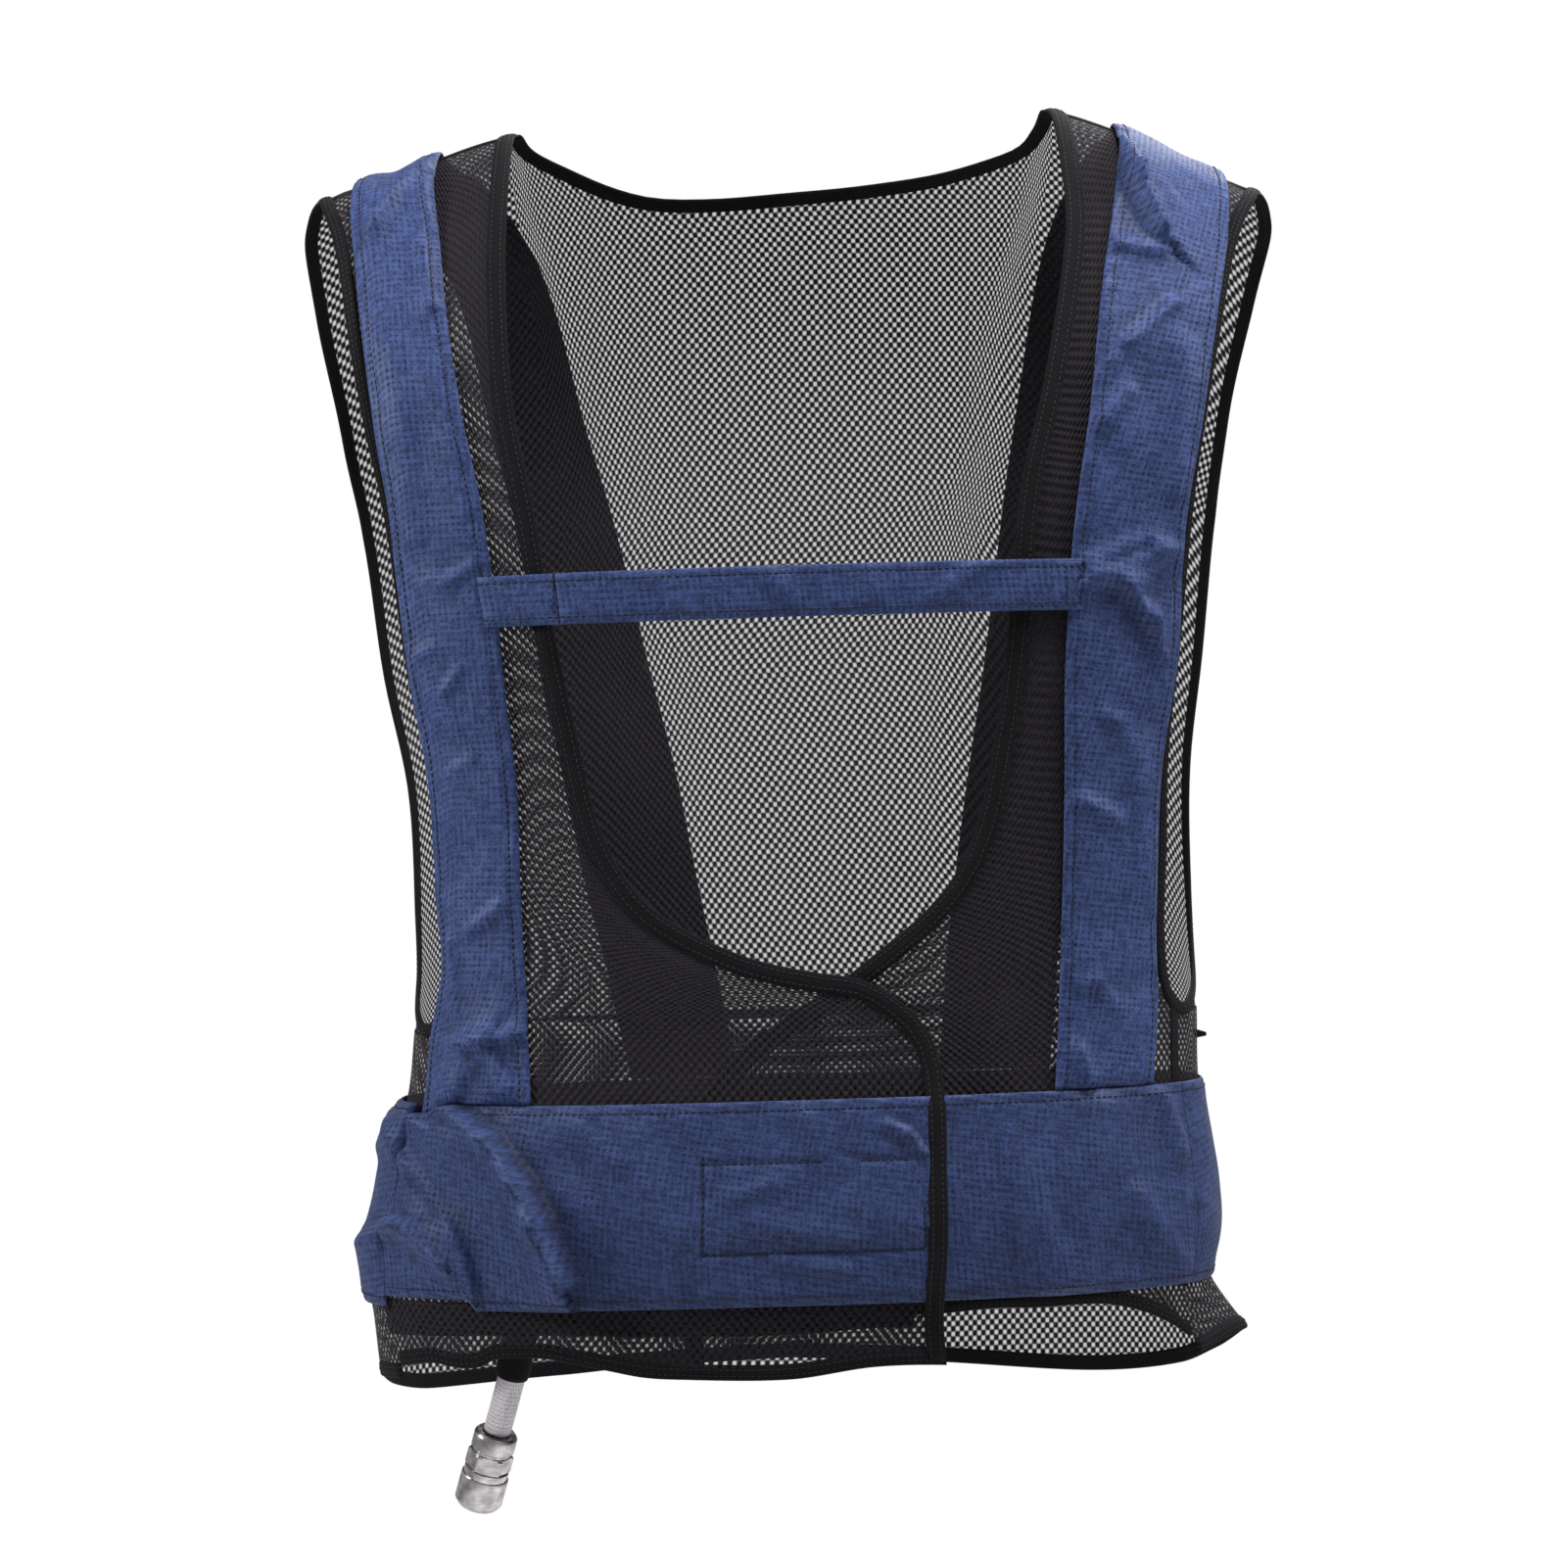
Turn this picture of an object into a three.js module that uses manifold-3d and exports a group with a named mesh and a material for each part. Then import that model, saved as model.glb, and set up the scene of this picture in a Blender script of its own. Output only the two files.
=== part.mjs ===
// Cooling vest: a net body with sewn-on air ducts, a waistband, bindings and a short air hose.
// Millimetres, +Z up, front towards -Y. The origin lies between the shoulders that carry the vest.
import * as THREE from 'three';
import Module from 'manifold-3d';
import { mergeVertices } from 'three/addons/utils/BufferGeometryUtils.js';

const wasm = await Module();
wasm.setup();

// Driving dimensions of the body
const shoulderSpan = 478;         // across both shoulder tips
const bodyLength = 601;           // shoulder line to hem
const chestDepth = 222;           // front to back at the chest
const shoulderLineHeight = 45;    // mean height of the shoulder line over the origin
const shoulderTipHeight = 22;     // height of a shoulder tip over the origin
const shoulderRise = 44;          // from a shoulder tip up to the neck
const shoulderLean = 8;           // how far the shoulder line lies behind the middle
const chestLevel = 0.3;           // where the round of the shoulders ends, share of bodyLength
const slopeEnd = 0.45;            // where the slope of the shoulders has faded out, share of bodyLength
const hangTilt = 0.03;            // how far the worn vest hangs down to its right side
const squareness = 2.5;           // 2 is an ellipse, more is squarer
const hemCornerWidth = 0.14;      // how far round the left hem corner spreads, in quarter turns

// Cloth, layers and clearances
const netThickness = 1;
const clothThickness = 1.8;
const ductThickness = 2.2;
const ductPuff = 0.9;             // how much thicker a duct is along its middle
const ductWidth = 50;             // mean width, for the size of its folds
const bindingThickness = 1.8;
const bindingWidth = 12;
const clearance = 0.3;            // between two pieces that touch in the real vest
const overlayHeight = 1.5;        // underside of ducts and bands over the middle of the net
const lapDrop = 7;                // how far the under front lies behind the upper one
const lapStart = 125;             // distance from the middle where the under front starts to drop
const lapEnd = 80;                // and where it has dropped fully

// Waistband, hem, strap and closure
const bandTop = 0.777;            // share of bodyLength
const bandBottom = 0.94;
const hemDepth = 36;              // net below the waistband
const hemFlare = 15;              // how far the left hem corner sticks out
const seamWay = 0.7;              // side seams, in quarter turns from the front
const turnLevel = 0.684;          // where the right front edge turns down, share of bodyLength
const strapWidth = 24;
const strapThickness = 1.6;
const strapLevel = 0.372;
const strapTabEnds = [-0.647, -0.487];   // shares of the half width at that level
const strapEnd = 0.613;
const puffUnderStrap = 0.4;              // share of the ducts' puff under the strap
const patchEnds = [-0.2, 0.3];
const patchLevels = [0.825, 0.897];
const patchThickness = 1.4;
const patchGap = 1.2;             // between the patch and the net before it
const sideTabPlace = { way: 1, down: 0.742 };
const sideTabLength = 6;
const sideTabWidth = 5;

// Hose and coupler
const hoseDiameter = 13.5;
const hoseSleeveWall = 1.2;
const hoseSleeveSpan = [0.34, 0.66];     // share of the hose that the sleeve covers
const inletDiameter = 18;
const inletLength = 24;
const inletFlangeDiameter = 25;
const inletFlangeThickness = 2.4;
const inletPlace = { reach: -0.665, down: 0.8365 };
const inletGap = 1.6;
const inletStem = 3;              // between the flange and the socket
const stemShare = 0.7;            // width of the stem as a share of the socket
const collarDiameter = 21.5;
const collarLength = 8;
const collarOverlap = 5;          // how far the collar reaches over the barrel
const collarLip = 1;              // rounded lip over the hose
const collarLipShare = 0.92;      // its width as a share of the collar
const hexAcrossFlats = 20;
const hexLength = 10;
const hexInset = 1.2;             // waist between collar and hex
const barrelDiameter = 16;
const boreDiameter = 9;
const sleeveDiameter = 23.5;
const sleeveLength = 17;
const sleeveTravel = 3;           // how far the sleeve pulls back
const sleeveClearance = 0.4;
const sleeveChamfer = 1.4;
const mouthProud = 0.7;           // how far the barrel stands out of the sleeve

// Counts of facets
const upperRows = 18;
const turnRows = 2;
const bandRows = 3;
const shoulderColumns = 7;
const neckColumns = 10;
const frontColumns = 12;
const ductColumns = 4;
const ductRows = 40;
const roundSides = 16;
const hoseSteps = 8;
const strapColumns = 16;
const tabColumns = 3;
const patchColumns = 6;
const patchRows = 2;

// How rows and columns crowd together; 1 is evenly spaced
const armholeCrowding = 1.15;
const edgeCrowding = 1.5;
const neckCrowding = 0.35;        // share of crowding towards both ends of the neck
const ductCrowding = 0.035;       // rows moved towards the shoulder, share of the duct

const halfSpan = shoulderSpan / 2;
const halfDepth = chestDepth / 2;

// Shoulder line: place across as a share of the half span, height as a share of shoulderRise.
const shoulderTable = [
  { across: -1.3, rise: -0.35 },
  { across: -1, rise: -0.03 },
  { across: -0.91, rise: 0.13 },
  { across: -0.8, rise: 0.27 },
  { across: -0.72, rise: 0.5 },
  { across: -0.585, rise: 0.73 },
  { across: -0.3, rise: 0.95 },
  { across: 0, rise: 1.05 },
  { across: 0.3, rise: 1.08 },
  { across: 0.535, rise: 1.03 },
  { across: 0.65, rise: 0.83 },
  { across: 0.74, rise: 0.68 },
  { across: 0.82, rise: 0.46 },
  { across: 0.9, rise: 0.3 },
  { across: 1, rise: 0.07 },
  { across: 1.3, rise: -0.3 },
];

// Body sections by level: widths as shares of the half span, depths as shares of the half depth.
const sectionTable = [
  { down: 0, right: 1.22, left: 1.22, front: 1, back: 1 },
  { down: 0.11, right: 1.17, left: 1.16, front: 1, back: 1 },
  { down: 0.22, right: 1.08, left: 1.07, front: 1, back: 1 },
  { down: 0.3, right: 1, left: 1, front: 1, back: 1 },
  { down: 0.42, right: 0.918, left: 0.925, front: 0.98, back: 1 },
  { down: 0.52, right: 0.835, left: 0.865, front: 0.95, back: 0.97 },
  { down: 0.62, right: 0.792, left: 0.85, front: 0.93, back: 0.94 },
  { down: 0.675, right: 0.775, left: 0.842, front: 0.92, back: 0.93 },
  { down: 0.725, right: 0.78, left: 0.845, front: 0.92, back: 0.92 },
  { down: 0.777, right: 0.795, left: 0.848, front: 0.94, back: 0.93 },
  { down: 0.825, right: 0.836, left: 0.866, front: 0.96, back: 0.95 },
  { down: 0.87, right: 0.863, left: 0.879, front: 0.98, back: 0.97 },
  { down: 0.9, right: 0.875, left: 0.884, front: 0.97, back: 0.97 },
  { down: 0.932, right: 0.876, left: 0.873, front: 0.96, back: 0.96 },
  { down: 0.957, right: 0.865, left: 0.872, front: 0.94, back: 0.95 },
  { down: 1, right: 0.848, left: 0.895, front: 0.92, back: 0.93 },
];

// Hem: place as quarter turns from the front, minus is the worn right side. Lift is a share of hemDepth.
const hemTable = [
  { way: -2, lift: -0.28 },
  { way: -1.6, lift: -0.25 },
  { way: -1.3, lift: -0.17 },
  { way: -1, lift: -0.03 },
  { way: -0.7, lift: 0 },
  { way: -0.38, lift: 0.13 },
  { way: -0.18, lift: 0.04 },
  { way: 0, lift: 0 },
  { way: 0.12, lift: 0.09 },
  { way: 0.4, lift: -0.03 },
  { way: 0.7, lift: 0.02 },
  { way: 1, lift: 0.34 },
  { way: 1.15, lift: 0.2 },
  { way: 1.4, lift: 0.33 },
  { way: 1.65, lift: 0.12 },
  { way: 2, lift: -0.28 },
];

// Middle line of the front edge bindings: shares of the half width and of bodyLength.
const rightFrontEdge = [
  { reach: -0.482, down: 0 },
  { reach: -0.497, down: 0.055 },
  { reach: -0.515, down: 0.135 },
  { reach: -0.534, down: 0.228 },
  { reach: -0.532, down: 0.343 },
  { reach: -0.521, down: 0.45 },
  { reach: -0.501, down: 0.543 },
  { reach: -0.457, down: 0.585 },
  { reach: -0.391, down: 0.618 },
  { reach: -0.307, down: 0.64 },
  { reach: -0.119, down: 0.669 },
  { reach: 0.07, down: 0.684 },
  { reach: 0.17, down: 0.69 },
  { reach: 0.255, down: 0.708 },
  { reach: 0.317, down: 0.733 },
  { reach: 0.341, down: 0.765 },
  { reach: 0.338, down: 0.85 },
  { reach: 0.333, down: 0.93 },
  { reach: 0.331, down: 1 },
];
const leftFrontEdge = [
  { reach: 0.452, down: 0 },
  { reach: 0.479, down: 0.04 },
  { reach: 0.501, down: 0.1 },
  { reach: 0.499, down: 0.214 },
  { reach: 0.484, down: 0.3 },
  { reach: 0.49, down: 0.41 },
  { reach: 0.487, down: 0.505 },
  { reach: 0.464, down: 0.564 },
  { reach: 0.416, down: 0.605 },
  { reach: 0.345, down: 0.635 },
  { reach: 0.256, down: 0.66 },
  { reach: 0.12, down: 0.694 },
  { reach: -0.015, down: 0.721 },
  { reach: -0.145, down: 0.75 },
  { reach: -0.215, down: 0.79 },
  { reach: -0.225, down: 0.87 },
  { reach: -0.225, down: 1 },
];

// Outer edge of the back neck.
const neckEdge = [
  { reach: -0.462, down: 0 },
  { reach: -0.441, down: 0.01 },
  { reach: -0.368, down: 0.028 },
  { reach: -0.303, down: 0.041 },
  { reach: -0.238, down: 0.049 },
  { reach: -0.138, down: 0.052 },
  { reach: 0, down: 0.05 },
  { reach: 0.124, down: 0.047 },
  { reach: 0.258, down: 0.04 },
  { reach: 0.343, down: 0.031 },
  { reach: 0.399, down: 0.022 },
  { reach: 0.423, down: 0.01 },
  { reach: 0.432, down: 0 },
];

// Outer edge of an armhole, from the shoulder tip down the back, round the side and up the front.
const armholeEdge = [
  { way: 1.452, down: 0 },
  { way: 1.425, down: 0.012 },
  { way: 1.41, down: 0.032 },
  { way: 1.402, down: 0.1 },
  { way: 1.383, down: 0.19 },
  { way: 1.347, down: 0.272 },
  { way: 1.31, down: 0.36 },
  { way: 1.278, down: 0.43 },
  { way: 1.225, down: 0.52 },
  { way: 1.15, down: 0.6 },
  { way: 1.03, down: 0.662 },
  { way: 0.86, down: 0.7 },
  { way: 0.74, down: 0.712 },
  { way: 0.685, down: 0.698 },
  { way: 0.658, down: 0.65 },
  { way: 0.643, down: 0.58 },
  { way: 0.612, down: 0.5 },
  { way: 0.59, down: 0.43 },
  { way: 0.572, down: 0.36 },
  { way: 0.55, down: 0.27 },
  { way: 0.53, down: 0.18 },
  { way: 0.518, down: 0.1 },
  { way: 0.522, down: 0.055 },
  { way: 0.535, down: 0.02 },
  { way: 0.548, down: 0 },
];

// Air ducts: place along as a share of bodyLength, minus on the front, plus on the back.
const rightDuct = [
  { along: -0.8, inner: 0.645, outer: 0.925 },
  { along: -0.723, inner: 0.672, outer: 0.932 },
  { along: -0.662, inner: 0.683, outer: 0.903 },
  { along: -0.6, inner: 0.675, outer: 0.896 },
  { along: -0.487, inner: 0.646, outer: 0.86 },
  { along: -0.4, inner: 0.622, outer: 0.836 },
  { along: -0.323, inner: 0.617, outer: 0.822 },
  { along: -0.2, inner: 0.611, outer: 0.784 },
  { along: -0.1, inner: 0.604, outer: 0.763 },
  { along: 0, inner: 0.6, outer: 0.757 },
  { along: 0.03, inner: 0.53, outer: 0.69 },
  { along: 0.1, inner: 0.45, outer: 0.61 },
  { along: 0.223, inner: 0.408, outer: 0.597 },
  { along: 0.36, inner: 0.356, outer: 0.588 },
  { along: 0.488, inner: 0.303, outer: 0.585 },
  { along: 0.6, inner: 0.253, outer: 0.556 },
  { along: 0.7, inner: 0.193, outer: 0.495 },
  { along: 0.8, inner: 0.115, outer: 0.41 },
];
const leftDuct = [
  { along: -0.8, inner: 0.623, outer: 0.86 },
  { along: -0.709, inner: 0.64, outer: 0.882 },
  { along: -0.647, inner: 0.645, outer: 0.876 },
  { along: -0.53, inner: 0.63, outer: 0.857 },
  { along: -0.434, inner: 0.595, outer: 0.844 },
  { along: -0.35, inner: 0.58, outer: 0.815 },
  { along: -0.25, inner: 0.575, outer: 0.797 },
  { along: -0.14, inner: 0.559, outer: 0.77 },
  { along: -0.05, inner: 0.56, outer: 0.757 },
  { along: 0, inner: 0.55, outer: 0.738 },
  { along: 0.03, inner: 0.51, outer: 0.69 },
  { along: 0.1, inner: 0.469, outer: 0.64 },
  { along: 0.204, inner: 0.463, outer: 0.65 },
  { along: 0.33, inner: 0.461, outer: 0.678 },
  { along: 0.489, inner: 0.447, outer: 0.712 },
  { along: 0.6, inner: 0.424, outer: 0.7 },
  { along: 0.7, inner: 0.4, outer: 0.682 },
  { along: 0.8, inner: 0.378, outer: 0.655 },
];

// Folds on the outside: start and end as shares across and along the piece, height and width as sizes.
const foldHeight = 5;
const foldWidth = 15;
const rightBandFolds = [
  { fromAcross: 0.27, fromAlong: 0.05, toAcross: 0.47, toAlong: 0.86, size: 1 },
  { fromAcross: 0.02, fromAlong: 0.62, toAcross: 0.13, toAlong: 0.5, size: 0.9 },
  { fromAcross: 0.13, fromAlong: 0.5, toAcross: 0.24, toAlong: 0.92, size: 0.8 },
  { fromAcross: 0.82, fromAlong: 0.84, toAcross: 0.98, toAlong: 0.7, size: 0.7 },
];
const leftBandFolds = [
  { fromAcross: 0.86, fromAlong: 0.05, toAcross: 0.95, toAlong: 0.9, size: 0.8 },
  { fromAcross: 0.5, fromAlong: 0.35, toAcross: 0.7, toAlong: 0.75, size: 0.5 },
];
const rightDuctFolds = [
  { fromAcross: 0.2, fromAlong: 0.46, toAcross: 0.8, toAlong: 0.44, size: 0.5 },
  { fromAcross: 0.3, fromAlong: 0.02, toAcross: 0.75, toAlong: 0.07, size: 0.8 },
];
const leftDuctFolds = [
  { fromAcross: 0.15, fromAlong: 0.475, toAcross: 0.45, toAlong: 0.43, size: 0.7 },
  { fromAcross: 0.25, fromAlong: 0.26, toAcross: 0.9, toAlong: 0.22, size: 0.5 },
];

// Route of the hose, measured from the mouth of the inlet.
const hoseOffsets = [
  [0, 0, 0],
  [0, 0, -16],
  [-0.3, 0.7, -32],
  [-1.3, 2.2, -48],
  [-3.2, 4.5, -64],
  [-6.4, 8.3, -80],
  [-10.6, 13.1, -96],
  [-15.1, 18.5, -112],
];

// Smooth value between the rows of a table.
function along(rows, key, column, at) {
  if (at <= rows[0][key]) {
    return rows[0][column];
  }
  for (let i = 1; i < rows.length; i += 1) {
    if (at <= rows[i][key]) {
      const before = rows[Math.max(0, i - 2)];
      const low = rows[i - 1];
      const high = rows[i];
      const after = rows[Math.min(rows.length - 1, i + 1)];
      const width = high[key] - low[key];
      const share = (at - low[key]) / width;
      const lowSlope = (high[column] - before[column]) / (high[key] - before[key]);
      const highSlope = (after[column] - low[column]) / (after[key] - low[key]);
      const square = share * share;
      const cube = square * share;
      return (2 * cube - 3 * square + 1) * low[column]
        + (cube - 2 * square + share) * width * lowSlope
        + (3 * square - 2 * cube) * high[column]
        + (cube - square) * width * highSlope;
    }
  }
  return rows[rows.length - 1][column];
}

function mix(a, b, share) {
  return a + (b - a) * share;
}

function smooth(low, high, at) {
  const share = Math.min(1, Math.max(0, (at - low) / (high - low)));
  return share * share * (3 - 2 * share);
}

// The body surface. way is quarter turns from the front, minus is the worn right side, 2 is the middle of
// the back. run is 0 on the shoulder line, 1 at the chest and 2 at the hem.
function downOf(run) {
  return run < 1
    ? chestLevel * (1 - Math.cos(run * Math.PI / 2))
    : mix(chestLevel, 1, run - 1);
}

function runOf(down) {
  return down < chestLevel
    ? Math.acos(1 - down / chestLevel) / (Math.PI / 2)
    : 1 + (down - chestLevel) / (1 - chestLevel);
}

function wayOf(reach, back) {
  const size = Math.abs(reach);
  const rest = (1 - size ** squareness) ** (1 / squareness);
  const way = Math.atan2(size, rest) / (Math.PI / 2);
  return Math.sign(reach) * (back ? 2 - way : way);
}

function bodyPoint(way, run) {
  const angle = way * Math.PI / 2;
  const sine = Math.sin(angle);
  const cosine = Math.cos(angle);
  const radius = (Math.abs(sine) ** squareness + Math.abs(cosine) ** squareness) ** (1 / squareness);
  const down = downOf(run);
  const round = run < 1 ? Math.sin(run * Math.PI / 2) : 1;
  const width = along(sectionTable, 'down', sine < 0 ? 'right' : 'left', down);
  const depth = along(sectionTable, 'down', cosine > 0 ? 'front' : 'back', down);
  const hemShare = Math.max(0, (down - bandBottom) / (1 - bandBottom));
  const corner = Math.exp(-(((way - 1) / hemCornerWidth) ** 2)) * hemFlare * hemShare;
  const x = halfSpan * width * sine / radius + corner;
  const y = shoulderLean * (1 - round) - halfDepth * depth * round * cosine / radius;
  const slope = down < slopeEnd ? (1 - down / slopeEnd) ** 2 : 0;
  const rise = shoulderTipHeight + shoulderRise * along(shoulderTable, 'across', 'rise', x / halfSpan);
  const lift = hemDepth * along(hemTable, 'way', 'lift', way) * hemShare;
  const z = shoulderLineHeight - down * bodyLength + slope * (rise - shoulderLineHeight)
    + hangTilt * x * (1 - slope) + lift;
  return new THREE.Vector3(x, y, z);
}

const probe = 0.004;

function bodySlopes(way, run) {
  const low = Math.max(0, run - probe);
  const high = Math.min(2, run + probe);
  const byWay = bodyPoint(way + probe, run).sub(bodyPoint(way - probe, run)).divideScalar(2 * probe);
  const byRun = bodyPoint(way, high).sub(bodyPoint(way, low)).divideScalar(high - low);
  return { byWay, byRun };
}

function bodyNormal(way, run) {
  const point = bodyPoint(way, run);
  const { byWay, byRun } = bodySlopes(way, run);
  const normal = byWay.cross(byRun).normalize();
  const outward = new THREE.Vector3(point.x, point.y - shoulderLean, shoulderRise * 2);
  return normal.dot(outward) < 0 ? normal.negate() : normal;
}

// Moves a place on the surface by a vector that lies in it.
function stepOnBody(place, vector) {
  const { byWay, byRun } = bodySlopes(place.way, place.run);
  const a = byWay.dot(byWay);
  const b = byWay.dot(byRun);
  const c = byRun.dot(byRun);
  const p = byWay.dot(vector);
  const q = byRun.dot(vector);
  const scale = a * c - b * b;
  return { way: place.way + (c * p - b * q) / scale, run: place.run + (a * q - b * p) / scale };
}

const seamRun = (clearance / 2) / (halfDepth * Math.PI / 2);

function clampRun(run) {
  return Math.min(2, Math.max(seamRun, run));
}

// A curve drawn on the body through table rows.
function bodyCurve(rows) {
  const points = rows.map((row) => new THREE.Vector3(row.way, runOf(row.down), 0));
  const curve = new THREE.CatmullRomCurve3(points, false, 'centripetal');
  curve.arcLengthDivisions = 400;
  return (share) => {
    const point = curve.getPointAt(share);
    return { way: point.x, run: clampRun(point.y) };
  };
}

// The same curve moved sideways over the body by a distance; side picks which way.
function insetPlace(curve, share, distance, side) {
  const place = curve(share);
  const before = curve(Math.max(0, share - probe));
  const after = curve(Math.min(1, share + probe));
  const tangent = bodyPoint(after.way, after.run).sub(bodyPoint(before.way, before.run)).normalize();
  const normal = bodyNormal(place.way, place.run);
  const outward = normal.clone().cross(tangent).multiplyScalar(side * distance);
  const target = bodyPoint(place.way, place.run).add(outward);
  let moved = stepOnBody(place, outward);
  for (let i = 0; i < 3; i += 1) {
    moved.run = clampRun(moved.run);
    moved = stepOnBody(moved, target.clone().sub(bodyPoint(moved.way, moved.run)));
  }
  const isEnd = share === 0 || share === 1;
  return { way: moved.way, run: isEnd ? place.run : clampRun(moved.run) };
}

// Distance above the hem, as a run.
function overHem(way, distance) {
  const { byRun } = bodySlopes(way, 2 - probe);
  return 2 - distance / byRun.length();
}

// Where a line of places crosses a run.
function wayAtRun(places, run) {
  for (let i = 1; i < places.length; i += 1) {
    if (run <= places[i].run) {
      const share = (run - places[i - 1].run) / (places[i].run - places[i - 1].run);
      return mix(places[i - 1].way, places[i].way, share);
    }
  }
  return places[places.length - 1].way;
}

// How far the under front lies behind the upper one.
function lapOffset(x) {
  return -lapDrop * (1 - smooth(lapEnd, lapStart, x));
}

// A closed sheet: place(i, j) gives a place on the body, offset(i, j) the height of its underside and
// thickness(i, j) how thick it is there.
function sheetGeometry(columns, rows, place, underside, thickness) {
  const positions = [];
  const index = [];
  const grid = [];
  const total = (columns + 1) * (rows + 1);
  for (let j = 0; j <= rows; j += 1) {
    for (let i = 0; i <= columns; i += 1) {
      const spot = place(i, j);
      const point = bodyPoint(spot.way, spot.run);
      const normal = bodyNormal(spot.way, spot.run);
      grid.push({ point, normal, low: underside(i, j, point), high: thickness(i, j, point) });
    }
  }
  for (const { point, normal, low } of grid) {
    positions.push(...point.clone().addScaledVector(normal, low).toArray());
  }
  for (const { point, normal, low, high } of grid) {
    positions.push(...point.clone().addScaledVector(normal, low + high).toArray());
  }
  const middle = Math.floor(rows / 2) * (columns + 1) + Math.floor(columns / 2);
  const across = grid[middle + 1].point.clone().sub(grid[middle].point);
  const down = grid[middle + columns + 1].point.clone().sub(grid[middle].point);
  const turned = across.cross(down).dot(grid[middle].normal) > 0;
  const quad = (a, b, c, d) => {
    index.push(...(turned ? [a, b, c, a, c, d] : [a, c, b, a, d, c]));
  };
  const at = (i, j) => j * (columns + 1) + i;
  for (let j = 0; j < rows; j += 1) {
    for (let i = 0; i < columns; i += 1) {
      quad(total + at(i, j), total + at(i + 1, j), total + at(i + 1, j + 1), total + at(i, j + 1));
      quad(at(i, j), at(i, j + 1), at(i + 1, j + 1), at(i + 1, j));
    }
  }
  for (let i = 0; i < columns; i += 1) {
    quad(at(i, 0), at(i + 1, 0), total + at(i + 1, 0), total + at(i, 0));
    quad(at(i + 1, rows), at(i, rows), total + at(i, rows), total + at(i + 1, rows));
  }
  for (let j = 0; j < rows; j += 1) {
    quad(at(0, j + 1), at(0, j), total + at(0, j), total + at(0, j + 1));
    quad(at(columns, j), at(columns, j + 1), total + at(columns, j + 1), total + at(columns, j));
  }
  const geometry = new THREE.BufferGeometry();
  geometry.setAttribute('position', new THREE.Float32BufferAttribute(positions, 3));
  geometry.setIndex(index);
  geometry.computeVertexNormals();
  return geometry;
}

// Raised folds on a sheet, as a height at shares across and along.
function foldsAt(folds, across, down, width, height) {
  let sum = 0;
  for (const fold of folds) {
    const start = new THREE.Vector2(fold.fromAcross * width, fold.fromAlong * height);
    const span = new THREE.Vector2(fold.toAcross * width, fold.toAlong * height).sub(start);
    const spot = new THREE.Vector2(across * width, down * height).sub(start);
    const share = Math.min(1, Math.max(0, spot.dot(span) / span.lengthSq()));
    const distance = spot.distanceTo(span.multiplyScalar(share));
    if (distance < foldWidth) {
      sum += foldHeight * fold.size * (1 + Math.cos(Math.PI * distance / foldWidth)) / 2;
    }
  }
  return sum;
}

const black = new THREE.MeshStandardMaterial({ color: 0x1c1b20, roughness: 0.85, metalness: 0 });
const netBlack = new THREE.MeshStandardMaterial({ color: 0x2a282c, roughness: 0.9, metalness: 0 });
const blue = new THREE.MeshStandardMaterial({ color: 0x384368, roughness: 0.6, metalness: 0 });
const navy = new THREE.MeshStandardMaterial({ color: 0x333d60, roughness: 0.65, metalness: 0 });
const braid = new THREE.MeshStandardMaterial({ color: 0xc9c9cc, roughness: 0.5, metalness: 0.4 });
const steel = new THREE.MeshStandardMaterial({ color: 0xb9b9bb, roughness: 0.25, metalness: 1 });
const darkSteel = new THREE.MeshStandardMaterial({ color: 0x8d8d90, roughness: 0.3, metalness: 1 });

const vest = new THREE.Group();

function add(name, geometry, material, parent = vest) {
  const mesh = new THREE.Mesh(geometry, material);
  mesh.name = name;
  parent.add(mesh);
  return mesh;
}

const netUnder = () => -netThickness / 2;
const netThick = () => netThickness;
const bindingUnder = () => -bindingThickness / 2;
const bindingThick = () => bindingThickness;
const halfBinding = bindingWidth / 2;

// Armholes: one list of places for each side, shared by the binding and the nets beside it.
function shareOfRow(row, rows) {
  return (row / rows) ** armholeCrowding;
}

function armholeCurve(side) {
  return bodyCurve(armholeEdge.map((row) => ({ way: side * row.way, down: row.down })));
}

function seamShare(curve, side) {
  let low = 0.5;
  let high = 0.75;
  for (let i = 0; i < 40; i += 1) {
    const middle = (low + high) / 2;
    const place = insetPlace(curve, middle, bindingWidth + clearance, side);
    if (side * place.way > seamWay) {
      low = middle;
    } else {
      high = middle;
    }
  }
  return (low + high) / 2;
}

const armholes = {};
for (const side of [-1, 1]) {
  const curve = armholeCurve(side);
  const seam = seamShare(curve, side);
  const backShares = [];
  const frontShares = [];
  for (let row = 0; row <= upperRows; row += 1) {
    backShares.push(seam * shareOfRow(row, upperRows));
    frontShares.push(1 - (1 - seam) * shareOfRow(row, upperRows));
  }
  const shares = [...backShares, ...frontShares.slice(0, -1).reverse()];
  const inset = (list, distance) => list.map((share) => insetPlace(curve, share, distance, side));
  armholes[side] = {
    outer: inset(shares, 0),
    inner: inset(shares, bindingWidth),
    backEdge: inset(backShares, bindingWidth + clearance),
    frontEdge: inset(frontShares, bindingWidth + clearance),
  };
}

// Gap at a side seam, as a part of a quarter turn.
function seamGap(way, run) {
  return (clearance / 2) / bodySlopes(way, run).byWay.length();
}

const bandLevels = [];
for (let row = 1; row <= bandRows; row += 1) {
  bandLevels.push(mix(bandTop, bandBottom, row / bandRows));
}

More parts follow.
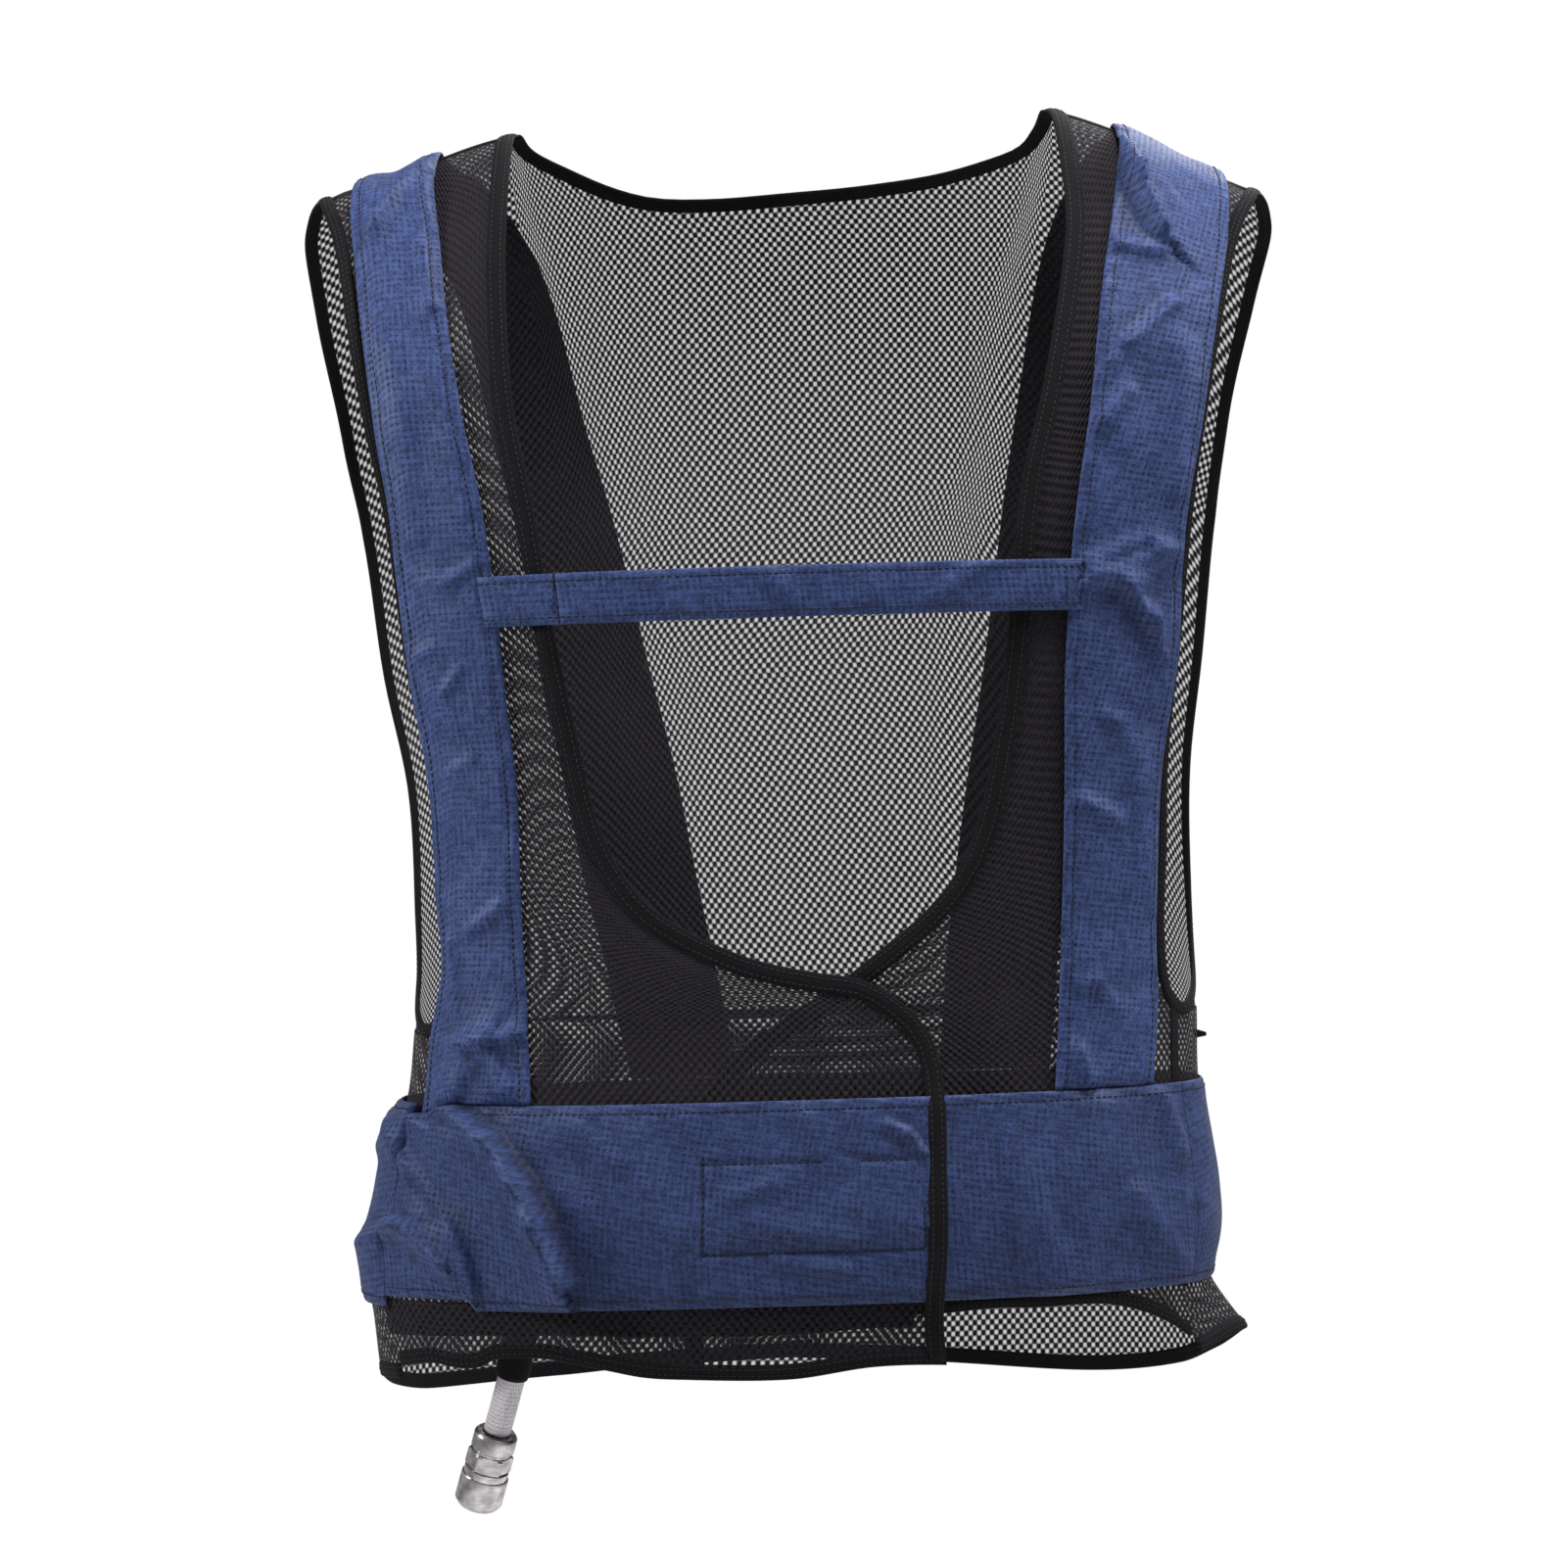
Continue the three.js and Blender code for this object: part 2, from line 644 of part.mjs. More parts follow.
// Side seam places below the armhole; towards is -1 on the front and 1 on the back piece.
function seamPlaces(side, fromRun, towards) {
  const runs = [];
  for (let row = 1; row <= turnRows; row += 1) {
    runs.push(mix(fromRun, runOf(bandTop), row / turnRows));
  }
  runs.push(...bandLevels.map(runOf));
  runs.push(overHem(side * seamWay, bindingWidth + clearance));
  return runs.map((run) => ({ way: side * (seamWay + towards * seamGap(seamWay, run)), run }));
}

function seamSide(side, towards) {
  const edge = towards < 0 ? armholes[side].frontEdge : armholes[side].backEdge;
  const list = edge.map((place) => ({ ...place }));
  const last = list[list.length - 1];
  last.way = side * (seamWay + towards * seamGap(seamWay, last.run));
  return [...list, ...seamPlaces(side, last.run, towards)];
}

// Front edges: places of both sides of the binding and of the net beside it.
function frontEdge(rows, side) {
  const curve = bodyCurve(rows.map((row) => ({ way: wayOf(row.reach, false), down: row.down })));
  const shareAt = (down) => {
    let share = 0.5;
    for (let step = 0.25; step > 1e-6; step /= 2) {
      share += curve(share).run < runOf(down) ? step : -step;
    }
    return share;
  };
  const turn = shareAt(turnLevel);
  const shares = [];
  for (let row = 0; row <= upperRows; row += 1) {
    shares.push(turn * (row / upperRows) ** edgeCrowding);
  }
  for (let row = 1; row <= turnRows; row += 1) {
    shares.push(mix(turn, shareAt(bandTop), row / turnRows));
  }
  shares.push(...bandLevels.map(shareAt), 1);
  const inset = (distance) => shares.map((at) => insetPlace(curve, at, distance, side));
  return { opening: inset(-halfBinding), inner: inset(halfBinding), net: inset(halfBinding + clearance) };
}

const rightEdge = frontEdge(rightFrontEdge, -1);
const leftEdge = frontEdge(leftFrontEdge, 1);

// Place of a front edge at a distance above the hem.
function edgeWay(edge, distance) {
  const run = overHem(edge.net[edge.net.length - 1].way, distance);
  return wayAtRun(edge.net, run);
}

// Front nets, between the front edge and the armhole and side seam.
const netEnd = bindingWidth + clearance;
const netRows = upperRows + turnRows + bandRows + 1;

function frontNet(name, edge, side, underside) {
  const outer = seamSide(side, -1);
  const inner = [...edge.net.slice(0, -1), { way: edgeWay(edge, netEnd) }];
  const place = (i, j) => {
    const share = i / frontColumns;
    const way = mix(outer[j].way, inner[j].way, share);
    const run = j < netRows ? mix(outer[j].run, inner[j].run, share) : overHem(way, netEnd);
    return { way, run };
  };
  add(name, sheetGeometry(frontColumns, netRows, place, underside, netThick), netBlack);
}

frontNet('right_front_net', rightEdge, -1, netUnder);
frontNet('left_front_net', leftEdge, 1, (i, j, point) => netUnder() + lapOffset(point.x));

// Back net, from side seam to side seam.
const neckCurve = bodyCurve(neckEdge.map((row) => ({ way: 2 + wayOf(row.reach, false), down: row.down })));
const neckShares = [];
for (let i = 0; i <= neckColumns; i += 1) {
  const share = i / neckColumns;
  neckShares.push(mix(share, (1 - Math.cos(share * Math.PI)) / 2, neckCrowding));
}
const insetNeck = (distance) => neckShares.map((share) => insetPlace(neckCurve, share, distance, -1));
const neckOuter = insetNeck(0);
const neckInner = insetNeck(bindingWidth);
const neckNet = insetNeck(bindingWidth + clearance);

// Back places count round the back: 0 is the worn right side's front, 2 the middle of the back.
function aroundBack(place) {
  return place.way < 0 ? 4 + place.way : place.way;
}

function fromBack(around) {
  return around > 2 ? around - 4 : around;
}

const backColumns = 2 * shoulderColumns + neckColumns;
const backLeft = seamSide(-1, 1).map((place) => ({ way: aroundBack(place), run: place.run }));
const backRight = seamSide(1, 1);
const topWays = [];
const topRuns = [];
for (let i = 0; i <= shoulderColumns; i += 1) {
  topWays.push(mix(backLeft[0].way, 4 - neckNet[0].way, i / shoulderColumns));
  topRuns.push(seamRun);
}
for (let i = 1; i <= neckColumns; i += 1) {
  topWays.push(4 - neckNet[i].way);
  topRuns.push(neckNet[i].run);
}
for (let i = 1; i <= shoulderColumns; i += 1) {
  topWays.push(mix(4 - neckNet[neckColumns].way, backRight[0].way, i / shoulderColumns));
  topRuns.push(seamRun);
}

function backNetPlace(i, j) {
  const top = (topWays[i] - topWays[0]) / (topWays[backColumns] - topWays[0]);
  const fade = Math.max(0, 1 - j / upperRows);
  const share = mix(i / backColumns, top, fade);
  const way = fromBack(mix(backLeft[j].way, backRight[j].way, share));
  const run = mix(backLeft[j].run, backRight[j].run, share) + (topRuns[i] - seamRun) * fade;
  return { way, run: j < netRows ? run : overHem(way, netEnd) };
}

add('back_net', sheetGeometry(backColumns, netRows, backNetPlace, netUnder, netThick), netBlack);

// The neck is drawn from the worn right side; its pieces count round the back from there.
function mirrorNeck(place) {
  return { way: fromBack(4 - place.way), run: place.run };
}

// Bindings, each a strip between two lists of places.
function strip(name, outer, inner, underside = bindingUnder) {
  const place = (i, j) => (i === 0 ? outer[j] : inner[j]);
  add(name, sheetGeometry(1, outer.length - 1, place, underside, bindingThick), black);
}

strip('right_front_binding', rightEdge.opening, rightEdge.inner);
strip('left_front_binding', leftEdge.opening, leftEdge.inner, (i, j, point) => (
  bindingUnder() + lapOffset(point.x)));
strip('neck_binding', neckOuter.map(mirrorNeck), neckInner.map(mirrorNeck));
strip('right_armhole_binding', armholes[-1].outer, armholes[-1].inner);
strip('left_armhole_binding', armholes[1].outer, armholes[1].inner);

// Hem bindings run between the front edges and the side seams, and round the back.
function hemStrip(name, fromWay, toWay, columns, underside) {
  const place = (i, j) => {
    const way = fromBack(mix(fromWay, toWay, i / columns));
    return { way, run: overHem(way, j * bindingWidth) };
  };
  add(name, sheetGeometry(columns, 1, place, underside, bindingThick), black);
}

const leftLap = (under) => (i, j, point) => under + lapOffset(point.x);
const seamNear = (side, towards) => side * (seamWay + towards * seamGap(seamWay, 1.9));
const backEnd = 4 + seamNear(-1, 1);
hemStrip('right_hem_binding', seamNear(-1, -1), edgeWay(rightEdge, netEnd), frontColumns, bindingUnder);
hemStrip('left_hem_binding', edgeWay(leftEdge, netEnd), seamNear(1, -1), frontColumns,
  leftLap(bindingUnder()));
hemStrip('back_hem_binding', backEnd, seamNear(1, 1), backColumns, bindingUnder);

// Waistband in three parts.
const bandRuns = [runOf(bandTop), runOf(bandBottom)];
const bandHeight = (bandBottom - bandTop) * bodyLength;

function bandPart(name, fromAt, toAt, columns, folds, width, lap) {
  const rows = 2 * bandRows;
  const runAt = (j) => mix(bandRuns[0], bandRuns[1], j / rows);
  const place = (i, j) => {
    const around = mix(fromAt(runAt(j)), toAt(runAt(j)), i / columns);
    return { way: fromBack(around), run: runAt(j) };
  };
  const low = (i, j, point) => (
    overlayHeight + lap(point.x) + foldsAt(folds, i / columns, j / rows, width, bandHeight));
  add(name, sheetGeometry(columns, rows, place, low, () => clothThickness), blue);
}

const bandEdge = (edge) => (run) => wayAtRun(edge.net, run);
const noLap = () => 0;
const frontBandWidth = halfSpan * 1.15;
bandPart('right_waistband', () => seamNear(-1, -1), bandEdge(rightEdge), 2 * frontColumns, rightBandFolds,
  frontBandWidth, noLap);
bandPart('left_waistband', bandEdge(leftEdge), () => seamNear(1, -1), frontColumns, leftBandFolds,
  frontBandWidth, lapOffset);
bandPart('back_waistband', () => backEnd, () => seamNear(1, 1), backColumns, [], frontBandWidth, noLap);

// Ducts run up the front, over the shoulder and down the back.
function duct(name, table, side, folds) {
  const end = runOf(bandTop) - clearance / bodySlopes(side * seamWay, bandRuns[0]).byRun.length();
  const reachOf = (column, signedRun) => {
    const level = Math.sign(signedRun) * downOf(Math.abs(signedRun));
    return side * along(table, 'along', column, level);
  };
  const place = (i, j) => {
    const share = j / ductRows;
    const signedRun = mix(-end, end, share + ductCrowding * Math.sin(2 * Math.PI * share));
    const reach = mix(reachOf('outer', signedRun), reachOf('inner', signedRun), i / ductColumns);
    return { way: wayOf(reach, signedRun > 0), run: Math.abs(signedRun) };
  };
  const low = (i, j) => (
    overlayHeight + foldsAt(folds, i / ductColumns, j / ductRows, ductWidth, 2 * bodyLength));
  const thick = (i) => ductThickness + ductPuff * Math.sin(Math.PI * i / ductColumns);
  add(name, sheetGeometry(ductColumns, ductRows, place, low, thick), blue);
}

duct('right_duct', rightDuct, -1, rightDuctFolds);
duct('left_duct', leftDuct, 1, leftDuctFolds);

// Chest strap and its tab, sewn over the inner edges of the ducts.
const strapHeight = overlayHeight + ductThickness + puffUnderStrap * ductPuff + clearance;

function strapPart(name, fromReach, toReach, columns, material) {
  const half = strapWidth / 2;
  const place = (i, j) => {
    const reach = mix(fromReach, toReach, i / columns);
    const down = strapLevel + (j === 0 ? -half : half) / bodyLength;
    return { way: wayOf(reach, false), run: runOf(down) };
  };
  add(name, sheetGeometry(columns, 1, place, () => strapHeight, () => strapThickness), material);
}

const strapHalf = halfSpan * along(sectionTable, 'down', 'right', strapLevel);
const strapStart = strapTabEnds[1] + clearance / strapHalf;
strapPart('strap_tab', strapTabEnds[0], strapTabEnds[1], tabColumns, navy);
strapPart('chest_strap', strapStart, strapEnd, strapColumns, blue);

// Hook patch behind the upper front, which closes on the under front.
function patchPlace(i, j) {
  const reach = mix(patchEnds[0], patchEnds[1], i / patchColumns);
  return { way: wayOf(reach, false), run: runOf(mix(patchLevels[0], patchLevels[1], j / patchRows)) };
}

const patchUnder = -netThickness / 2 - patchGap - patchThickness;
add('closure_patch', sheetGeometry(patchColumns, patchRows, patchPlace, () => patchUnder,
  () => patchThickness), black);

// Small end of the armhole binding that sticks out at the left side.
function sideTabGeometry() {
  const run = runOf(sideTabPlace.down);
  const middle = bodyPoint(sideTabPlace.way, run);
  const shape = new THREE.Shape();
  shape.moveTo(0, -sideTabWidth / 2);
  shape.lineTo(sideTabLength, -sideTabWidth / 4);
  shape.lineTo(sideTabLength, sideTabWidth / 8);
  shape.lineTo(0, sideTabWidth / 2);
  shape.closePath();
  const geometry = new THREE.ExtrudeGeometry(shape, { depth: clothThickness, bevelEnabled: false });
  geometry.translate(0, 0, -clothThickness / 2);
  geometry.rotateX(Math.PI / 2);
  const normal = bodyNormal(sideTabPlace.way, run);
  geometry.rotateZ(Math.atan2(normal.y, normal.x));
  middle.addScaledVector(normal, netThickness / 2 + clearance);
  geometry.translate(middle.x, middle.y, middle.z);
  return geometry;
}

add('side_tab', sideTabGeometry(), black);

// Solids for the hose fittings.
function toSolid(geometry) {
  const bare = geometry.index ? geometry.clone() : geometry;
  bare.deleteAttribute('normal');
  bare.deleteAttribute('uv');
  const merged = mergeVertices(bare, 1e-4);
  return new wasm.Manifold(new wasm.Mesh({
    numProp: 3,
    vertProperties: new Float32Array(merged.attributes.position.array),
    triVerts: new Uint32Array(merged.index.array),
  }));
}

function toGeometry(solid) {
  const mesh = solid.getMesh();
  const geometry = new THREE.BufferGeometry();
  geometry.setAttribute('position', new THREE.BufferAttribute(new Float32Array(mesh.vertProperties), 3));
  geometry.setIndex(new THREE.BufferAttribute(new Uint32Array(mesh.triVerts), 1));
  geometry.computeVertexNormals();
  return geometry;
}

// A ring turned round Z: profile rows are radius and height, clockwise.
function turned(profile) {
  const points = profile.map(([radius, height]) => new THREE.Vector2(radius, height)).reverse();
  points.push(points[0].clone());
  const geometry = new THREE.LatheGeometry(points, roundSides);
  geometry.rotateX(Math.PI / 2);
  return geometry;
}

// The inlet sits on the inside of the net, and its socket points down.
const inletWay = wayOf(inletPlace.reach, false);
const inletRun = runOf(inletPlace.down);
const inletNormal = bodyNormal(inletWay, inletRun);
const inletInside = netThickness / 2 + inletGap + inletFlangeThickness / 2;
const inletCentre = bodyPoint(inletWay, inletRun).addScaledVector(inletNormal, -inletInside);
const socketInside = inletFlangeThickness / 2 + inletStem + inletDiameter / 2;
const socketCentre = inletCentre.clone().addScaledVector(inletNormal, -socketInside);
const inletMouth = socketCentre.clone().sub(new THREE.Vector3(0, 0, inletLength / 2));
const hoseRoute = hoseOffsets.map((offset) => inletMouth.clone().add(new THREE.Vector3(...offset)));
const hoseCurve = new THREE.CatmullRomCurve3(hoseRoute, false, 'centripetal');
const hoseEnd = hoseRoute[hoseRoute.length - 1];
const couplerDown = hoseCurve.getTangent(1);

// Round tube along a stretch of the hose.
function hoseTube(from, to, outerRadius, innerRadius, steps) {
  const points = [];
  for (let i = 0; i <= steps; i += 1) {
    points.push(hoseCurve.getPointAt(mix(from, to, i / steps)));
  }
  const shape = new THREE.Shape();
  shape.absarc(0, 0, outerRadius, 0, 2 * Math.PI, false);
  if (innerRadius > 0) {
    const hole = new THREE.Path();
    hole.absarc(0, 0, innerRadius, 0, 2 * Math.PI, true);
    shape.holes.push(hole);
  }
  return new THREE.ExtrudeGeometry(shape, {
    steps,
    curveSegments: 6,
    bevelEnabled: false,
    extrudePath: new THREE.CatmullRomCurve3(points, false, 'centripetal'),
  });
}

const hoseRadius = hoseDiameter / 2;
const hoseLength = hoseCurve.getLength();
const endGap = clearance / hoseLength;
add('hose', hoseTube(endGap, 1 - endGap, hoseRadius, 0, hoseSteps), braid);
const hoseSleeveInner = hoseRadius + 2 * clearance;
const hoseSleeveOuter = hoseSleeveInner + hoseSleeveWall;
add('hose_sleeve', hoseTube(...hoseSleeveSpan, hoseSleeveOuter, hoseSleeveInner, hoseSteps / 2), black);

// Inlet: a socket joined by a stem to a flange.
function inletGeometry() {
  const up = new THREE.Vector3(0, 1, 0);
  const turn = new THREE.Quaternion().setFromUnitVectors(up, inletNormal);
  const radius = inletDiameter / 2;
  const socket = new THREE.CylinderGeometry(radius, radius, inletLength, roundSides);
  socket.rotateX(Math.PI / 2);
  socket.translate(socketCentre.x, socketCentre.y, socketCentre.z);
  const flangeRadius = inletFlangeDiameter / 2;
  const flange = new THREE.CylinderGeometry(flangeRadius, flangeRadius, inletFlangeThickness, roundSides);
  flange.applyQuaternion(turn);
  flange.translate(inletCentre.x, inletCentre.y, inletCentre.z);
  const stemRadius = radius * stemShare;
  const stem = new THREE.CylinderGeometry(stemRadius, stemRadius, socketInside, roundSides);
  stem.applyQuaternion(turn);
  const middle = inletCentre.clone().lerp(socketCentre, 0.5);
  stem.translate(middle.x, middle.y, middle.z);
  return toGeometry(toSolid(socket).add(toSolid(stem)).add(toSolid(flange)));
}

add('hose_inlet', inletGeometry(), darkSteel);

// Coupler, built along -Z and then turned to follow the end of the hose.
const coupler = new THREE.Group();
coupler.position.copy(hoseEnd);
coupler.quaternion.setFromUnitVectors(new THREE.Vector3(0, 0, -1), couplerDown);
vest.add(coupler);

const barrelRadius = barrelDiameter / 2;
const boreRadius = boreDiameter / 2;
const collarRadius = collarDiameter / 2;
const hexTop = -collarLength - hexInset;
const hexBottom = hexTop - hexLength;
const sleeveTop = hexBottom - sleeveTravel - clearance;
const sleeveBottom = sleeveTop - sleeveLength;
const barrelBottom = sleeveBottom - mouthProud;

function couplerBodyGeometry() {
  const barrel = turned([
    [boreRadius, -collarOverlap - clearance],
    [barrelRadius, -collarOverlap - clearance],
    [barrelRadius, barrelBottom],
    [boreRadius, barrelBottom],
  ]);
  const hexRadius = hexAcrossFlats / Math.sqrt(3);
  const shape = new THREE.Shape();
  for (let corner = 0; corner < 6; corner += 1) {
    const angle = corner * Math.PI / 3;
    shape[corner === 0 ? 'moveTo' : 'lineTo'](hexRadius * Math.cos(angle), hexRadius * Math.sin(angle));
  }
  shape.closePath();
  const hex = new THREE.ExtrudeGeometry(shape, { depth: hexLength, bevelEnabled: false });
  hex.translate(0, 0, hexBottom);
  const bore = new THREE.CylinderGeometry(boreRadius, boreRadius, 3 * hexLength, roundSides);
  bore.rotateX(Math.PI / 2);
  bore.translate(0, 0, hexBottom);
  return toGeometry(toSolid(hex).subtract(toSolid(bore)).add(toSolid(barrel)));
}

add('coupler_body', couplerBodyGeometry(), steel, coupler);

const collarBore = hoseRadius + clearance;
add('hose_collar', turned([
  [collarBore, collarLip],
  [collarRadius * collarLipShare, collarLip],
  [collarRadius, 0],
  [collarRadius, -collarLength],
  [barrelRadius + clearance, -collarLength],
  [barrelRadius + clearance, -collarOverlap],
  [collarBore, -collarOverlap],
]), steel, coupler);

const sleeveRadius = sleeveDiameter / 2;
const sleeveBore = barrelRadius + sleeveClearance;
add('coupler_sleeve', turned([
  [sleeveBore, sleeveTop],
  [sleeveRadius - sleeveChamfer, sleeveTop],
  [sleeveRadius, sleeveTop - sleeveChamfer],
  [sleeveRadius, sleeveBottom + 2 * sleeveChamfer],
  [sleeveRadius - 1.5 * sleeveChamfer, sleeveBottom],
  [sleeveBore, sleeveBottom],
]), steel, coupler);

export default vest;
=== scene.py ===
# Looks of the cooling vest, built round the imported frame. Metres, +Z up, front towards -Y.
import bpy
import math
import numpy as np
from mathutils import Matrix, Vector, noise


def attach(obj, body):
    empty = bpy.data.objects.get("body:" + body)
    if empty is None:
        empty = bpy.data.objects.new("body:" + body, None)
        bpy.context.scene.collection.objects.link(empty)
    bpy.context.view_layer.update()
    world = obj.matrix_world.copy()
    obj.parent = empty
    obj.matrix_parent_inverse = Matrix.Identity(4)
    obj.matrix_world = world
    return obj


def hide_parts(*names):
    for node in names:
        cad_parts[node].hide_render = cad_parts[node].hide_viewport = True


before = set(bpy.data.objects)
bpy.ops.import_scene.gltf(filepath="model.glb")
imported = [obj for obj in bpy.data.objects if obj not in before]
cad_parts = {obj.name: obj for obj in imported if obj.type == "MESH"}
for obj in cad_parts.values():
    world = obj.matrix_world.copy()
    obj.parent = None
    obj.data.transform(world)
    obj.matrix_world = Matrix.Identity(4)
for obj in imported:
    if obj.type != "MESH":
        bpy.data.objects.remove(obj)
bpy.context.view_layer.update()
print("frame loaded")

mm = 0.001
rideBody = "vest"
sleeveBody = "sleeve"

# camera, level with the middle of the picture
cameraSettings = {"place": (-0.0027, -2.5, -0.2702), "frameWidth": 0.7845, "sensor": 36.0}
cameraData = bpy.data.cameras.new("camera")
cameraData.sensor_width = cameraSettings["sensor"]
cameraData.lens = cameraSettings["sensor"] * -cameraSettings["place"][1] / cameraSettings["frameWidth"]
cameraData.clip_end = 50
camera = bpy.data.objects.new("camera", cameraData)
camera.location = cameraSettings["place"]
camera.rotation_euler = (math.radians(90), 0, 0)
bpy.context.scene.collection.objects.link(camera)
bpy.context.scene.camera = camera

# sizes of the body, in millimetres
body = {
    "span": 478, "length": 601, "depth": 222, "lineHeight": 45, "tipHeight": 22, "rise": 44, "lean": 8,
    "chest": 0.3, "slopeEnd": 0.45, "tilt": 0.03, "square": 2.5, "hemDepth": 36, "hemFlare": 15,
    "hemCorner": 0.14,
}
band = {"top": 0.777, "bottom": 0.94, "thick": 1.8, "seamWay": 0.7}
lap = {"drop": 7, "start": 125, "end": 80}
gap = 0.3
bindingWidth = 12  # of the solid bindings, beside which the side seams start
overlay = 1.5  # how far the blue cloth lies above the middle of the net


class Rows:
    # a table of rows with named columns, read as smooth curves
    def __init__(self, names, rows):
        self.columns = dict(zip(names.split(), np.array(rows, float).T))

    def __getitem__(self, name):
        return self.columns[name]

    def read(self, key, name, at):
        x, y = self.columns[key], self.columns[name]
        at = np.clip(np.asarray(at, float), x[0], x[-1])
        i = np.clip(np.searchsorted(x, at, side="left"), 1, len(x) - 1)
        before, low, high, after = np.maximum(i - 2, 0), i - 1, i, np.minimum(i + 1, len(x) - 1)
        width = x[high] - x[low]
        t = (at - x[low]) / width
        lowSlope = (y[high] - y[before]) / (x[high] - x[before])
        highSlope = (y[after] - y[low]) / (x[after] - x[low])
        return ((2 * t**3 - 3 * t**2 + 1) * y[low] + (t**3 - 2 * t**2 + t) * width * lowSlope
                + (3 * t**2 - 2 * t**3) * y[high] + (t**3 - t**2) * width * highSlope)


def rowsOf(names, rows):
    return Rows(names, rows)


# columns are shares: of the half span, of the rise, of the length, of the half width at that level
shoulderTable = rowsOf("across rise", [
    (-1.3, -0.35), (-1, -0.03), (-0.91, 0.13), (-0.8, 0.27), (-0.72, 0.5), (-0.585, 0.73), (-0.3, 0.95),
    (0, 1.05), (0.3, 1.08), (0.535, 1.03), (0.65, 0.86), (0.74, 0.64), (0.82, 0.4), (0.9, 0.26), (1, 0.07),
    (1.3, -0.3),
])
sectionTable = rowsOf("down right left front back", [
    (0, 1.22, 1.22, 1, 1), (0.11, 1.17, 1.15, 1, 1), (0.22, 1.08, 1.062, 1, 1), (0.3, 1, 1, 1, 1),
    (0.42, 0.918, 0.935, 0.98, 1), (0.52, 0.835, 0.878, 0.95, 0.97), (0.62, 0.792, 0.85, 0.93, 0.94),
    (0.675, 0.775, 0.842, 0.92, 0.93), (0.725, 0.78, 0.845, 0.92, 0.92), (0.777, 0.795, 0.848, 0.94, 0.93),
    (0.825, 0.836, 0.866, 0.96, 0.95), (0.87, 0.863, 0.879, 0.98, 0.97), (0.9, 0.875, 0.884, 0.97, 0.97),
    (0.932, 0.876, 0.873, 0.96, 0.96), (0.957, 0.865, 0.872, 0.94, 0.95), (1, 0.848, 0.895, 0.92, 0.93),
])
hemTable = rowsOf("way lift", [
    (-2, -0.36), (-1.74, -0.43), (-1.63, -0.48), (-1.36, -0.5), (-1.2, -0.36), (-1, -0.12), (-0.7, 0),
    (-0.38, 0.13), (-0.18, 0.04), (0, 0), (0.12, 0.13), (0.22, 0.12), (0.4, -0.03), (0.7, 0.02), (1, 0.2),
    (1.15, -0.14), (1.3, -0.42), (1.53, -0.6), (1.8, -0.46), (2, -0.36),
])
rightFrontEdge = rowsOf("reach down", [
    (-0.482, 0), (-0.497, 0.055), (-0.515, 0.135), (-0.534, 0.228), (-0.532, 0.343), (-0.521, 0.45),
    (-0.501, 0.543), (-0.457, 0.585), (-0.391, 0.618), (-0.307, 0.64), (-0.119, 0.669), (0.07, 0.684),
    (0.17, 0.69), (0.255, 0.708), (0.317, 0.733), (0.341, 0.765), (0.338, 0.85), (0.333, 0.93), (0.331, 1),
])
leftFrontEdge = rowsOf("reach down", [
    (0.452, 0), (0.479, 0.04), (0.501, 0.1), (0.499, 0.214), (0.484, 0.3), (0.49, 0.41), (0.487, 0.505),
    (0.464, 0.564), (0.416, 0.605), (0.345, 0.635), (0.256, 0.66), (0.12, 0.694), (-0.015, 0.721),
    (-0.145, 0.75), (-0.215, 0.79), (-0.225, 0.87), (-0.225, 1),
])
neckEdge = rowsOf("reach down", [
    (-0.462, 0), (-0.441, 0.01), (-0.368, 0.028), (-0.303, 0.041), (-0.238, 0.049), (-0.138, 0.052),
    (0, 0.05), (0.124, 0.047), (0.258, 0.04), (0.343, 0.031), (0.399, 0.022), (0.423, 0.01), (0.432, 0),
])
armholeEdge = rowsOf("way down", [
    (1.452, 0), (1.425, 0.012), (1.41, 0.032), (1.402, 0.1), (1.383, 0.19), (1.347, 0.272), (1.31, 0.36),
    (1.278, 0.43), (1.225, 0.52), (1.15, 0.6), (1.03, 0.662), (0.86, 0.7), (0.74, 0.712), (0.685, 0.698),
    (0.658, 0.65), (0.643, 0.58), (0.612, 0.5), (0.59, 0.43), (0.572, 0.36), (0.55, 0.27), (0.53, 0.18),
    (0.518, 0.1), (0.522, 0.055), (0.535, 0.02), (0.548, 0),
])
rightDuct = rowsOf("along inner outer", [
    (-0.8, 0.645, 0.925), (-0.723, 0.672, 0.932), (-0.662, 0.683, 0.903), (-0.6, 0.675, 0.896),
    (-0.487, 0.646, 0.86), (-0.4, 0.622, 0.833), (-0.323, 0.617, 0.813), (-0.2, 0.609, 0.771),
    (-0.1, 0.599, 0.748), (0, 0.593, 0.742), (0.03, 0.53, 0.69), (0.1, 0.45, 0.61), (0.223, 0.408, 0.597),
    (0.36, 0.356, 0.588), (0.488, 0.303, 0.585), (0.6, 0.253, 0.556), (0.7, 0.193, 0.495),
    (0.8, 0.115, 0.41),
])
leftDuct = rowsOf("along inner outer", [
    (-0.8, 0.623, 0.86), (-0.709, 0.64, 0.882), (-0.647, 0.645, 0.876), (-0.53, 0.63, 0.857),
    (-0.434, 0.595, 0.844), (-0.35, 0.58, 0.815), (-0.25, 0.575, 0.797), (-0.14, 0.559, 0.77),
    (-0.05, 0.56, 0.757), (0, 0.55, 0.738), (0.03, 0.51, 0.69), (0.1, 0.469, 0.64), (0.204, 0.463, 0.65),
    (0.33, 0.461, 0.678), (0.489, 0.447, 0.712), (0.6, 0.424, 0.7), (0.7, 0.4, 0.682), (0.8, 0.378, 0.655),
])


def mix(a, b, share):
    return a + (b - a) * share


